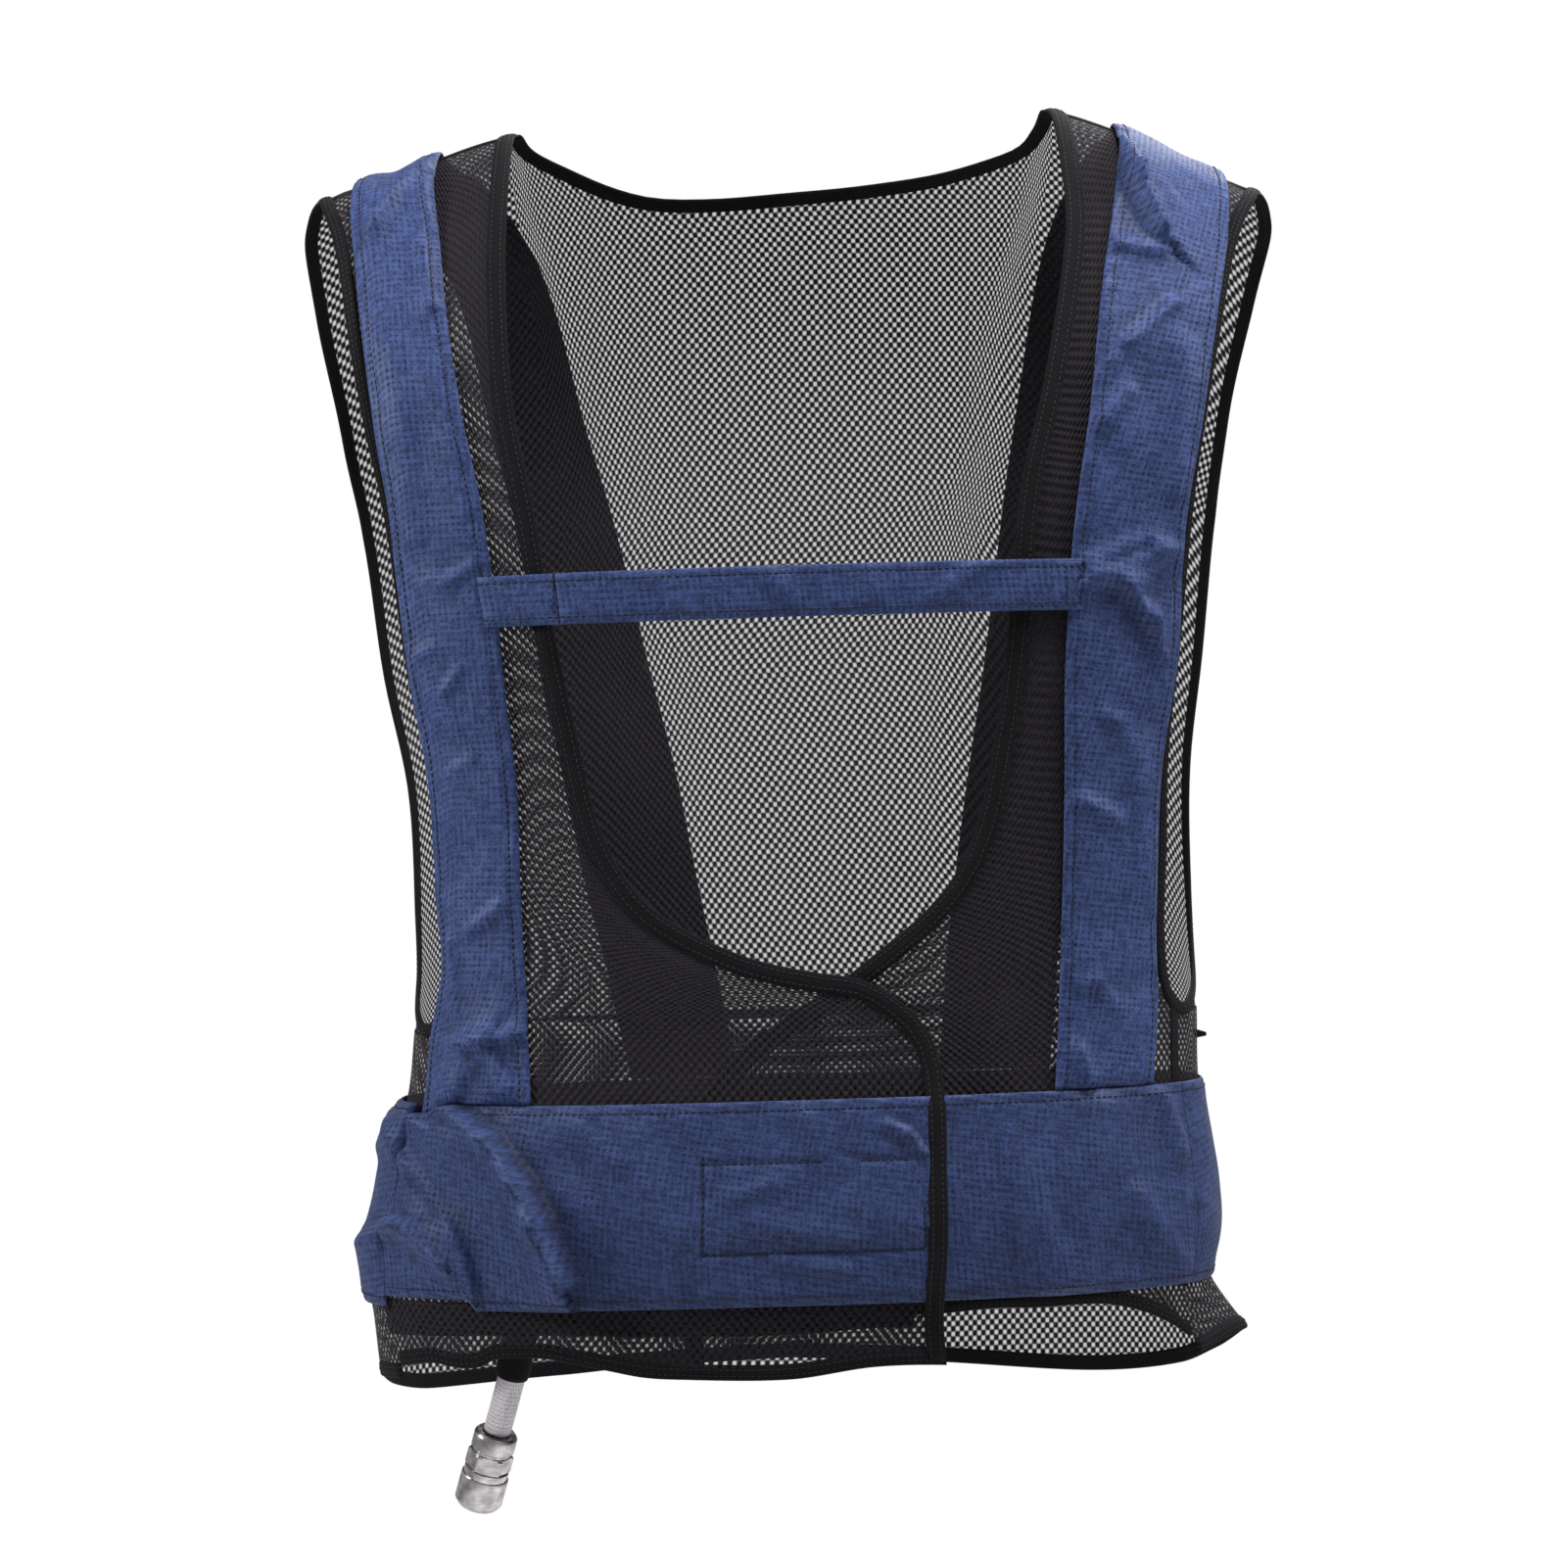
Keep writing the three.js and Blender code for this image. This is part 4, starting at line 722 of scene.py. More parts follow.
def puckering(along, across, seed):
    # small puckers that sewing leaves beside an edge
    values = [noise.noise((a / clothShape["pucker"], seed, 0.5)) for a in along.ravel().tolist()]
    return np.array(values).reshape(along.shape) * np.exp(-((across / clothShape["puckerWidth"]) ** 2))


def waviness(points, size, height, seed):
    flat = points.reshape(-1, 3) / size
    values = [noise.noise((p[0] + seed, p[1] + seed, p[2] - seed)) for p in flat.tolist()]
    return height * (0.6 + np.array(values)).reshape(points.shape[:-1])


def cornerSpread(count, length, rounding):
    # shares from 0 to 1, closer together within a rounding of both ends
    edge = np.array([0, 0.12, 0.4, 1.0]) * rounding / length
    return np.concatenate([edge[:-1], np.linspace(edge[-1], 1 - edge[-1], count), 1 - edge[:-1][::-1]])


class Cloth:
    # a closed piece of cloth on the body, round at its edges
    def __init__(self, name, way, run, low, thick, finish, rounding, folds=None, puff=0.0, groove=None,
                 lapped=False, wave=0.0, replaced=(), pucker=0.0, sides=2, turned=(0, 0), lining=None,
                 sewn=(), lobes=()):
        base, normals = bodyPoint(way, run), bodyNormal(way, run)
        across, along = stepsAlong(base, 1), stepsAlong(base, 0)
        width, length = across[:, -1:], along[-1:, :]
        sideGap = np.minimum(across, width - across)
        endGap = np.minimum(along, length - along)
        nearest = np.minimum(sideGap, endGap)
        edge = np.sqrt(1 - (1 - np.clip(nearest / rounding, 0, 1)) ** 2)
        offset = np.broadcast_to(np.asarray(low, float), base.shape[:-1]).copy()
        if lapped:
            offset += lapOffset(base[..., 0])
        if folds:
            offset += foldHeight(base, folds, lobes) * smooth(*clothShape["foldFade"], nearest)
            offset = np.maximum(offset, clothShape["lowest"])
        if pucker:
            fade = smooth(0, clothShape["puckerFade"], nearest)
            offset += pucker * puckering(along, sideGap, 2.5) * fade
            if sides == 4:
                offset += pucker * puckering(across, endGap, 7.5) * fade
        if wave:
            soft = smooth(0, clothShape["waveFade"], nearest)
            offset += waviness(base, clothShape["wave"], wave, len(name)) * soft
        for seam in sewn:
            offset -= seamSink(base, seam)
        # painted shade: how far the cloth lies below its blurred self sets how much shade is painted into its
        # colour
        sunk = blurred(offset, clothShape["hollowWidth"]) - offset
        foldShade = np.clip(sunk / clothShape["hollowDepth"], 0, 1)
        full = thick + puff * np.sin(np.pi * np.clip(across / width, 0, 1)) ** 0.8
        middle = offset + thick / 2
        top = middle + (full - thick / 2) * edge
        if groove:
            distance, deep, wide = groove
            near = sideGap if sides == 2 else nearest
            top -= deep * np.exp(-(((near - distance) / wide) ** 2))
        under = middle - thick / 2 * edge
        self.top = base + normals * top[..., None]
        self.normals = normals
        self.across, self.along = across, along
        rows, columns = base.shape[:2]
        upper = self.top.reshape(-1, 3)
        lower = (base + normals * under[..., None])
        inner = np.full((rows, columns), -1)
        border = np.zeros((rows, columns), bool)
        border[[0, -1], :] = True
        border[:, [0, -1]] = True
        index = np.arange(rows * columns).reshape(rows, columns)
        inner[~border] = rows * columns + np.arange((~border).sum())
        lowerIndex = np.where(border, index, inner)
        faces = gridFaces(rows, columns)
        if not facing(upper, faces, normals.reshape(-1, 3)):
            faces = faces[:, ::-1]
        back = lowerIndex.ravel()[faces][:, ::-1]
        points = np.vstack([upper, lower[~border]])
        a, b = (math.radians(angle) for angle in turned)
        uvs = np.stack([across * math.cos(a) + along * math.sin(a),
                        along * math.cos(b) - across * math.sin(b)], axis=-1) * mm
        mesh = meshOf(name, points, np.vstack([faces, back]).tolist(),
                      np.vstack([uvs.reshape(-1, 2), uvs[~border]]),
                      foldShade=np.concatenate([foldShade.ravel(), foldShade[~border]]))
        self.made = keep(name, mesh, finish, replaced=replaced)
        if lining:
            self.made.data.materials.append(lining.material)
            self.made.data.polygons.foreach_set("material_index", [0] * len(faces) + [1] * len(back))
        self.area = float(np.sum(np.linalg.norm(np.cross(
            np.diff(base, axis=0)[:, :-1], np.diff(base, axis=1)[:-1]), axis=-1))) * mm * mm
        self.size = (float(width.mean()) * mm, float(length.mean()) * mm)

    def frontLine(self, x1, z1, x2, z2):
        # a line on top of the cloth, given as it is seen from the front
        flat, normals = self.top.reshape(-1, 3), self.normals.reshape(-1, 3)
        front = normals[:, 1] < 0
        flat, normals = flat[front], normals[front]
        lines, outs = [], []
        for share in np.linspace(0, 1, 40):
            x, z = mix(x1, x2, share), mix(z1, z2, share)
            distance = (flat[:, 0] - x) ** 2 + (flat[:, 2] - z) ** 2
            near = np.argsort(distance)[:6]
            weight = 1 / (distance[near] + 0.2)
            lines.append((x, float(np.sum(flat[near, 1] * weight) / np.sum(weight)), z))
            outs.append(np.sum(normals[near] * weight[:, None], axis=0) / np.sum(weight))
        return np.array(lines), np.array(outs)

    def sideLine(self, distance, fromEnd=False):
        # the line on top of the cloth at a distance from one long side
        return lineAt(distance, fromEnd, self.across, self.top, self.normals)

    def endLine(self, distance, fromEnd=False):
        return lineAt(distance, fromEnd, self.along.T, self.top.swapaxes(0, 1), self.normals.swapaxes(0, 1))


def lineAt(distance, fromEnd, lengths, top, normals):
    # one place in each row of a grid, at a distance from the row's start or end
    line, outs = [], []
    for length, points, out in zip(lengths, top, normals):
        at = length[-1] - distance if fromEnd else distance
        line.append([np.interp(at, length, points[:, m]) for m in range(3)])
        outs.append([np.interp(at, length, out[:, m]) for m in range(3)])
    return np.array(line), np.array(outs)


# threads of a seam
blueStitchSize = {"pitch": 3.4, "length": 2.4, "width": 0.75, "height": 0.45}
tapeStitchSize = {"pitch": 3.0, "length": 2.2, "width": 0.6, "height": 0.3}


def stitches(name, runs, finish, size):
    # rows of short raised threads along lines
    points, faces = [], []
    shape = [(-1, -1, -0.2), (-1, 1, -0.2), (-0.7, 0.6, 1), (-0.7, -0.6, 1),
             (1, -1, -0.2), (1, 1, -0.2), (0.7, 0.6, 1), (0.7, -0.6, 1)]
    boxFaces = [(0, 1, 2, 3), (7, 6, 5, 4), (0, 3, 7, 4), (2, 1, 5, 6), (3, 2, 6, 7), (1, 0, 4, 5)]
    for line, normals in runs:
        length = stepsAlong(line, 0)
        total = length[-1]
        count = int(total / size["pitch"])
        starts = (np.arange(count) + 0.5) * total / max(count, 1)
        for at in starts:
            here = np.array([np.interp(at, length, line[:, m]) for m in range(3)])
            ahead = np.array([np.interp(at + 1, length, line[:, m]) for m in range(3)])
            behind = np.array([np.interp(at - 1, length, line[:, m]) for m in range(3)])
            normal = np.array([np.interp(at, length, normals[:, m]) for m in range(3)])
            normal /= np.linalg.norm(normal)
            forward = ahead - behind
            forward /= max(np.linalg.norm(forward), 1e-6)
            sideways = np.cross(normal, forward)
            first = len(points)
            for a, b, c in shape:
                points.append(here + forward * a * size["length"] / 2 + sideways * b * size["width"] / 2
                              + normal * c * size["height"])
            faces += [tuple(first + k for k in face) for face in boxFaces]
    return keep(name, meshOf(name, points, faces), finish)


print("helpers ready")

# rows of the nets, from the shoulder line to the hem
upperShares = np.linspace(0, 1, 91)
turnShares = np.linspace(0, 1, 9)[1:]
bandDowns = np.linspace(band["top"], band["bottom"], 19)[1:]
hemShares = np.linspace(0, 1, 5)[1:]
upperCount, belowCount = len(upperShares), len(turnShares) + len(bandDowns) + len(hemShares)
turnLevel = 0.684  # where the front edges have turned down
tuck = 1.5  # how far a net reaches into its binding
tapeWidth = {"front": 9.5, "armhole": 7.0, "neck": 7.8, "hem": 7.8}
netSize = {"columns": 71, "waveSize": 55, "wave": 1.6, "waveFade": 0.25, "waveLevel": 60, "overlap": 0.5}
# how far each front's hem lies above the back's, by the distance from the middle
hemRaise = {
    1: rowsOf("x up", [(-60, 20), (75, 23.5), (111, 29.5), (153, 31.5), (175, 26), (190, 17), (198, 9)]),
    -1: rowsOf("x up", [(-205, 4), (-185, 6.5), (-172, 7), (-160, 4), (-150, 4), (-141, 7.5), (-118, 7.5),
                        (-105, 5.5), (-88, 3), (-70, 0.5), (-50, 0), (100, 0)]),
}


def netHem(way, side=0):
    # where a net ends inside its hem binding
    more = raiseAt(way, side) if side else 0
    return np.maximum(overHem(way, tapeWidth["hem"] - tuck + more), float(runOf(band["bottom"])) + 0.001)


def raiseAt(way, side):
    return hemRaise[side].read("x", "up", bodyPoint(way, np.full_like(np.asarray(way, float), 2.0))[..., 0])


class Armhole:
    def __init__(self, side):
        self.side = side
        self.curve = bodyCurve(side * armholeEdge["way"], armholeEdge["down"])
        low, high = 0.5, 0.75
        for _ in range(40):
            middle = (low + high) / 2
            way, _ = insetPlaces(self.curve, [middle], bindingWidth + gap, side)
            low, high = (middle, high) if side * way[0] > band["seamWay"] else (low, middle)
        self.seam = (low + high) / 2

    def shares(self, towards):
        curved = upperShares ** 1.15
        return self.seam * curved if towards > 0 else 1 - (1 - self.seam) * curved

    def seamSide(self, towards):
        way, run = insetPlaces(self.curve, self.shares(towards), tapeWidth["armhole"] - tuck, self.side)
        seam = self.side * band["seamWay"]
        way[-1] = seam
        lower = np.concatenate([mix(run[-1], runOf(band["top"]), turnShares), runOf(bandDowns),
                                mix(runOf(band["bottom"]), netHem(seam), hemShares)])
        return np.concatenate([way, np.full(belowCount, seam)]), np.concatenate([run, lower])

    def loop(self, distances):
        shares = np.concatenate([self.shares(1), self.shares(-1)[-2::-1]])
        return placesAt(self.curve, shares, distances, self.side)


def placesAt(curve, shares, distances, side):
    pairs = [insetPlaces(curve, shares, distance, side) for distance in distances]
    return np.stack([p[0] for p in pairs], axis=1), np.stack([p[1] for p in pairs], axis=1)


class FrontEdge:
    def __init__(self, rows, side):
        self.side = side
        self.curve = bodyCurve(wayOf(rows["reach"]), rows["down"])
        fine = np.linspace(0, 1, 3001)
        runs = self.curve(fine)[1]
        shareAt = lambda down: np.interp(runOf(down), runs, fine)
        turnShare = shareAt(turnLevel)
        self.shares = np.concatenate([
            turnShare * upperShares ** 1.5, mix(turnShare, shareAt(band["top"]), turnShares),
            shareAt(bandDowns), mix(shareAt(band["bottom"]), 1, hemShares)])
        self.netWays, self.netRuns = self.places(tapeWidth["front"] / 2 - tuck)

    def places(self, distance):
        return insetPlaces(self.curve, self.shares, distance, self.side)

    def wayAt(self, run):
        return np.interp(run, self.netRuns, self.netWays)

    def hemWay(self):
        way = self.netWays[-1]
        return float(self.wayAt(netHem(way)))


holes = {side: Armhole(side) for side in (-1, 1)}
rightEdge, leftEdge = FrontEdge(rightFrontEdge, -1), FrontEdge(leftFrontEdge, 1)


def hemRows(way, run, side):
    # the last rows of a net keep level with its hem
    last = way[-len(hemShares):]
    target = netHem(last, side)
    run[-len(hemShares):] = mix(float(runOf(band["bottom"])), target, hemShares[:, None])
    return way, run


def netUv(way, run, base, middle):
    # true lengths on the net, counted from its middle line and from the waistband
    bandRow = upperCount + len(turnShares) - 1
    share = np.linspace(0, 1, 61)[None]
    reach = bodyPoint(mix(middle, way[:, :1], share), run[:, :1] * np.ones_like(share))
    start = stepsAlong(reach, 1)[:, -1:] * np.sign(way[:, :1] - middle)
    across = stepsAlong(base, 1) * np.sign(way[:, -1:] - way[:, :1])
    along = stepsAlong(base, 0)
    u = start + across
    return np.stack([u, along[bandRow] - along + u * netLook["rise"]], axis=-1) * mm


def netSheet(name, way, run, middle, side):
    way, run = hemRows(way, run, side)
    rows, columns = way.shape
    base, normals = bodyPoint(way, run), bodyNormal(way, run)
    offset = lapOffset(base[..., 0]) if side > 0 else np.zeros(way.shape)
    inside = np.minimum(np.arange(columns), np.arange(columns)[::-1]) / (columns / 2)
    level = smooth(0, netSize["waveLevel"], base[..., 2].max() - base[..., 2])
    wave = waviness(base, netSize["waveSize"], netSize["wave"], middle)
    offset += wave * smooth(0, netSize["waveFade"], inside) * level
    points = base + normals * offset[..., None]
    # the nets meet at the shoulders
    step = points[0] - points[1]
    points[0] += step / np.linalg.norm(step, axis=-1, keepdims=True) * netSize["overlap"]
    uvs = netUv(way, run, base, middle)
    faces = gridFaces(rows, columns)
    if not facing(points.reshape(-1, 3), faces, normals.reshape(-1, 3)):
        faces = faces[:, ::-1]
    made = keep(name, meshOf(name, points.reshape(-1, 3), faces.tolist(), uvs.reshape(-1, 2)), netFinish,
                replaced=[name])
    a, b = np.diff(points, axis=0)[:, :-1], np.diff(points, axis=1)[:-1]
    area = float(np.sum(np.linalg.norm(np.cross(a, b), axis=-1))) * mm * mm
    flat = (float(np.ptp(uvs[..., 0])), float(np.ptp(uvs[..., 1])))
    return made, flat, area


def frontNet(name, edge, hole, side):
    outerWay, outerRun = hole.seamSide(-1)
    innerWay, innerRun = edge.netWays.copy(), edge.netRuns.copy()
    lastRun = mix(float(runOf(band["bottom"])), float(netHem(edge.hemWay(), side)), hemShares)
    innerWay[-len(hemShares):], innerRun[-len(hemShares):] = edge.wayAt(lastRun), lastRun
    share = np.linspace(0, 1, netSize["columns"])
    way = mix(outerWay[:, None], innerWay[:, None], share)
    run = mix(outerRun[:, None], innerRun[:, None], share)
    return netSheet(name, way, run, 0.0, side)


rightNet = frontNet("right_front_net", rightEdge, holes[-1], -1)
leftNet = frontNet("left_front_net", leftEdge, holes[1], 1)

# the back counts its places round the back, from the worn left side to the right
neckCurve = bodyCurve(2 + wayOf(neckEdge["reach"]), neckEdge["down"])
neckAt = np.linspace(0, 1, 61)
neckShares = mix(neckAt, (1 - np.cos(neckAt * np.pi)) / 2, 0.35)


def backNetGrid():
    rightWay, rightRun = holes[-1].seamSide(1)
    leftWay, leftRun = holes[1].seamSide(1)
    rightWay = rightWay + 4
    neckWay, neckRun = insetPlaces(neckCurve, neckShares, tapeWidth["neck"] - tuck, -1)
    neckWay = 4 - neckWay
    shoulder = np.linspace(0, 1, 36)[:-1]
    topWay = np.concatenate([mix(rightWay[0], neckWay[0], shoulder), neckWay,
                             mix(leftWay[0], neckWay[-1], shoulder)[::-1]])
    topRun = np.concatenate([np.full(35, seamRun), neckRun, np.full(35, seamRun)])
    column = np.concatenate([np.linspace(0, 7, 36)[:-1], 7 + 10 * neckAt,
                             17 + np.linspace(0, 7, 36)[1:]]) / 24
    top = (topWay - topWay[0]) / (topWay[-1] - topWay[0])
    fade = np.concatenate([1 - upperShares, np.zeros(belowCount)])[:, None]
    share = mix(column[None], top[None], fade)
    way = mix(rightWay[:, None], leftWay[:, None], share)
    run = mix(rightRun[:, None], leftRun[:, None], share) + (topRun[None] - seamRun) * fade
    return way, run


backNet = netSheet("back_net", *backNetGrid(), 2.0, 0)
print("nets ready")

# bindings; lift is how far one climbs over the waistband, and its two slopes are shares of the length
tapeSettings = {"low": -0.9, "thick": 1.8, "puff": 0.5, "stitch": 2.4, "groove": (0.35, 0.5), "rounding": 1.4,
                "wave": 0.5, "lift": 3.0, "topSlope": (-0.012, 0.012), "bottomSlope": (-0.005, 0.03)}


def tapeAcross(place):
    return cornerSpread(6, tapeWidth[place], tapeSettings["rounding"]) * tapeWidth[place]


def liftOver(run):
    # lets a binding climb over the waistband's end
    level = downOf(run)
    (a, b), (c, d) = tapeSettings["topSlope"], tapeSettings["bottomSlope"]
    up = smooth(band["top"] + a, band["top"] + b, level)
    return tapeSettings["lift"] * up * (1 - smooth(band["bottom"] + c, band["bottom"] + d, level))


def tape(name, way, run, lapped=False, lifted=False):
    low = tapeSettings["low"] + (liftOver(run) if lifted else 0)
    return Cloth(name, way, run, low, tapeSettings["thick"], tapeFinish, tapeSettings["rounding"],
                 puff=tapeSettings["puff"], groove=(tapeSettings["stitch"], *tapeSettings["groove"]),
                 lapped=lapped, wave=tapeSettings["wave"], replaced=[name])


def edgeTape(name, edge):
    distances = tapeAcross("front") - tapeWidth["front"] / 2
    way, run = placesAt(edge.curve, edge.shares, distances, edge.side)
    return tape(name, way, run, lapped=edge.side > 0, lifted=edge.side < 0)


rightTape = edgeTape("right_front_binding", rightEdge)
leftTape = edgeTape("left_front_binding", leftEdge)
neckWay, neckRun = placesAt(neckCurve, neckShares, tapeAcross("neck"), -1)
neckTape = tape("neck_binding", 4 - neckWay, neckRun)
holeTapes = {side: tape(name, *holes[side].loop(tapeAcross("armhole")))
             for side, name in ((-1, "right_armhole_binding"), (1, "left_armhole_binding"))}


def hemTape(name, fromWay, toWay, count, side=0):
    across = tapeAcross("hem")
    way = np.linspace(fromWay, toWay, count)[:, None] * np.ones(len(across))
    raised = raiseAt(way, side) if side else 0
    return tape(name, way, overHem(way, across[None] + raised), lapped=side > 0)


seamWay = band["seamWay"]
rightHem = hemTape("right_hem_binding", -seamWay, rightEdge.hemWay(), 130, -1)
leftHem = hemTape("left_hem_binding", leftEdge.hemWay(), seamWay, 130, 1)
backHem = hemTape("back_hem_binding", 4 - seamWay, seamWay, 160)
tapes = [rightTape, leftTape, neckTape, holeTapes[-1], holeTapes[1], rightHem, leftHem, backHem]


# flat tapes over the seams; distance is how far the shoulder seam lies in front of the shoulder line
seamSettings = {"sideWidth": 7.0, "sideThick": 1.4, "shoulderWidth": 5.0, "shoulderThick": 1.3,
                "distance": 17.0, "low": -0.6, "rounding": 1.0, "ends": 0.01}


def sideSeam(name, side):
    # from the armhole to the waistband
    width, ends = seamSettings["sideWidth"], seamSettings["ends"]
    top = holes[side].seamSide(1)[1][upperCount - 1]
    run = np.linspace(top - ends, float(runOf(band["top"])) + ends, 30)[:, None]
    middle = np.full_like(run, side * seamWay)
    byWay, _ = bodySlopes(middle, run)
    across = cornerSpread(4, width, seamSettings["rounding"]) * width - width / 2
    way = middle + across[None] / np.linalg.norm(byWay, axis=-1)
    return Cloth(name, way, run, seamSettings["low"], seamSettings["sideThick"], tapeFinish,
                 seamSettings["rounding"])


sideSeams = [sideSeam("right_side_seam", -1), sideSeam("left_side_seam", 1)]


def shoulderSeam(name, edge, hole):
    width = seamSettings["shoulderWidth"]
    inner, outer = edge.places(0)[0][0], hole.curve(1.0)[0]
    way = np.linspace(float(inner), float(outer), 40)[:, None]
    across = cornerSpread(3, width, seamSettings["rounding"]) * width + seamSettings["distance"] - width / 2
    _, byRun = bodySlopes(way, np.full_like(way, 0.05))
    run = across[None] / np.linalg.norm(byRun, axis=-1)
    return Cloth(name, way, run, seamSettings["low"], seamSettings["shoulderThick"], tapeFinish,
                 seamSettings["rounding"])


shoulderSeams = [shoulderSeam("right_shoulder_seam", rightEdge, holes[-1]),
                 shoulderSeam("left_shoulder_seam", leftEdge, holes[1])]
print("bindings ready")

# waistband; pull is how far the sewn-in fold at the worn right side moves its edges, as a share of the
# length, and the pull grows from the first x to the second
bandSettings = {"thick": 1.8, "rounding": 1.3, "wave": 1.3, "stitch": 4.5, "groove": (0.5, 0.7),
                "pucker": 0.9, "turned": (-6, 9.5), "slack": 1.03, "rows": 76, "pull": 0.0085,
                "lowerPull": (-149, -154), "upperPull": (-160, -176)}
bandHeight = (band["bottom"] - band["top"]) * body["length"]

# the sewn outline of the hook patch, seen from the front: x z to x z
patchSeams = [(-41.5, -452.5, 64, -449.5), (64, -449.5, 65, -492.5), (65, -492.5, -41.5, -495.5),
              (-41.5, -495.5, -41.5, -452.5)]


def waistband(name, fromAt, toAt, count, lapped, sewn=()):
    use = bandSettings
    spread = cornerSpread(use["rows"], bandHeight, use["rounding"])
    run = runOf(mix(band["top"], band["bottom"], spread))[:, None]
    way = mix(fromAt(run), toAt(run), cornerSpread(count, 250, use["rounding"])[None])
    # the fold lifts the lower edge and pulls the upper one down
    x = bodyPoint(way, run)[..., 0]
    share = spread[:, None]
    front = np.abs(way) < 1
    lower = np.where(front, -use["pull"] * smooth(*use["lowerPull"], x), 0)
    upper = np.where(front, use["pull"] * smooth(*use["upperPull"], x), 0)
    run = run + (lower * share + upper * (1 - share)) / (1 - body["chest"])
    piece = Cloth(name, way, run, overlay, use["thick"], bandFinish, use["rounding"], folds=bandFolds,
                  groove=(use["stitch"], *use["groove"]), lapped=lapped, wave=use["wave"], replaced=[name],
                  pucker=use["pucker"], sides=4, turned=use["turned"], lining=liningFinish, sewn=sewn,
                  lobes=bandLobes)
    return piece


def fixedWay(value):
    return lambda run: np.full_like(run, value)


def underTape(edge, inset):
    ways, runs = edge.places(tapeWidth["front"] / 2 - inset)
    return lambda run: np.interp(run, runs, ways)


rightBand = waistband("right_waistband", fixedWay(-seamWay), underTape(rightEdge, 2.5), 230, False,
                      patchSeams)
leftBand = waistband("left_waistband", underTape(leftEdge, -gap), fixedWay(seamWay), 110, True)
backBand = waistband("back_waistband", fixedWay(4 - seamWay), fixedWay(seamWay), 150, False)
print("waistband ready")

# air ducts
ductSettings = {"thick": 2.2, "puff": 0.9, "rounding": 1.5, "wave": 1.5, "stitch": 5.0, "groove": (0.9, 0.9),
                "pucker": 1.0, "turned": {-1: (-2, -2), 1: (8, 8)}, "rows": 560, "columns": 25,
                "length": 1400, "width": 60, "frontRows": 0.035, "fill": 0.25}


def duct(name, rows, side):
    use = ductSettings
    seam = float(runOf(band["top"]))
    _, byRun = bodySlopes(np.array([side * seamWay]), np.array([seam]))
    end = seam - gap / np.linalg.norm(byRun)
    share = cornerSpread(use["rows"], use["length"], use["rounding"])
    signed = mix(-end, end, share + use["frontRows"] * np.sin(2 * np.pi * share))
    level = np.sign(signed) * downOf(np.abs(signed))
    outer = side * rows.read("along", "outer", level)
    inner = side * rows.read("along", "inner", level)
    across = cornerSpread(use["columns"], use["width"], use["rounding"])
    reach = mix(outer[:, None], inner[:, None], across[None])
    way = wayOf(reach, signed[:, None] > 0)
    run = np.abs(signed)[:, None] * np.ones(len(across))
    # the front end follows the waistband's pulled down corner
    x = bodyPoint(way, run)[..., 0]
    nearEnd = smooth(end - 0.12, end, run) * smooth(*bandSettings["upperPull"], x)
    pulled = np.where(signed[:, None] < 0, nearEnd, 0)
    run = run + pulled * bandSettings["pull"] / (1 - body["chest"])
    piece = Cloth(name, way, run, overlay, use["thick"], blueFinish, use["rounding"], folds=ductFolds,
                  puff=use["puff"], groove=(use["stitch"], *use["groove"]), wave=use["wave"], replaced=[name],
                  pucker=use["pucker"], turned=use["turned"][side], lining=liningFinish, lobes=ductLobes)
    return piece


ducts = {-1: duct("right_duct", rightDuct, -1), 1: duct("left_duct", leftDuct, 1)}
print("ducts ready")

# chest strap and the tab beside it, sewn over the ducts
strapSettings = {"width": 24, "thick": 1.6, "level": 0.372, "tab": (-0.647, -0.487), "end": 0.613,
                 "height": 4.36, "rounding": 1.1, "stitch": 3.6, "groove": (0.35, 0.6), "wave": 0.6,
                 "pucker": 0.5, "slack": 1.02}


def strapPiece(name, fromReach, toReach, count):
    use = strapSettings
    across = cornerSpread(10, use["width"], use["rounding"])
    run = runOf(use["level"] + (across * 2 - 1) * use["width"] / 2 / body["length"])[:, None]
    length = abs(toReach - fromReach) * body["span"] / 2
    way = wayOf(mix(fromReach, toReach, cornerSpread(count, length, use["rounding"])))[None]
    piece = Cloth(name, way, run, use["height"], use["thick"], blueFinish, use["rounding"],
                  groove=(use["stitch"], *use["groove"]), wave=use["wave"], replaced=[name], folds=strapFolds,
                  pucker=use["pucker"], sides=4)
    return piece


strapStart = strapSettings["tab"][1] + gap / (body["span"] / 2 * 0.94)
tab = strapPiece("strap_tab", *strapSettings["tab"], 16)
strap = strapPiece("chest_strap", strapStart, strapSettings["end"], 90)

# hook patch behind the upper front
patchSettings = {"ends": (-0.2, 0.3), "levels": (0.825, 0.897), "width": 120, "height": 43, "thick": 1.4,
                 "under": -3.1, "rounding": 1.0}
patchAcross = cornerSpread(24, patchSettings["width"], patchSettings["rounding"])
patchDown = cornerSpread(10, patchSettings["height"], patchSettings["rounding"])
patch = Cloth("closure_patch", wayOf(mix(*patchSettings["ends"], patchAcross))[None],
              runOf(mix(*patchSettings["levels"], patchDown))[:, None], patchSettings["under"],
              patchSettings["thick"], hookFinish, patchSettings["rounding"], replaced=["closure_patch"])

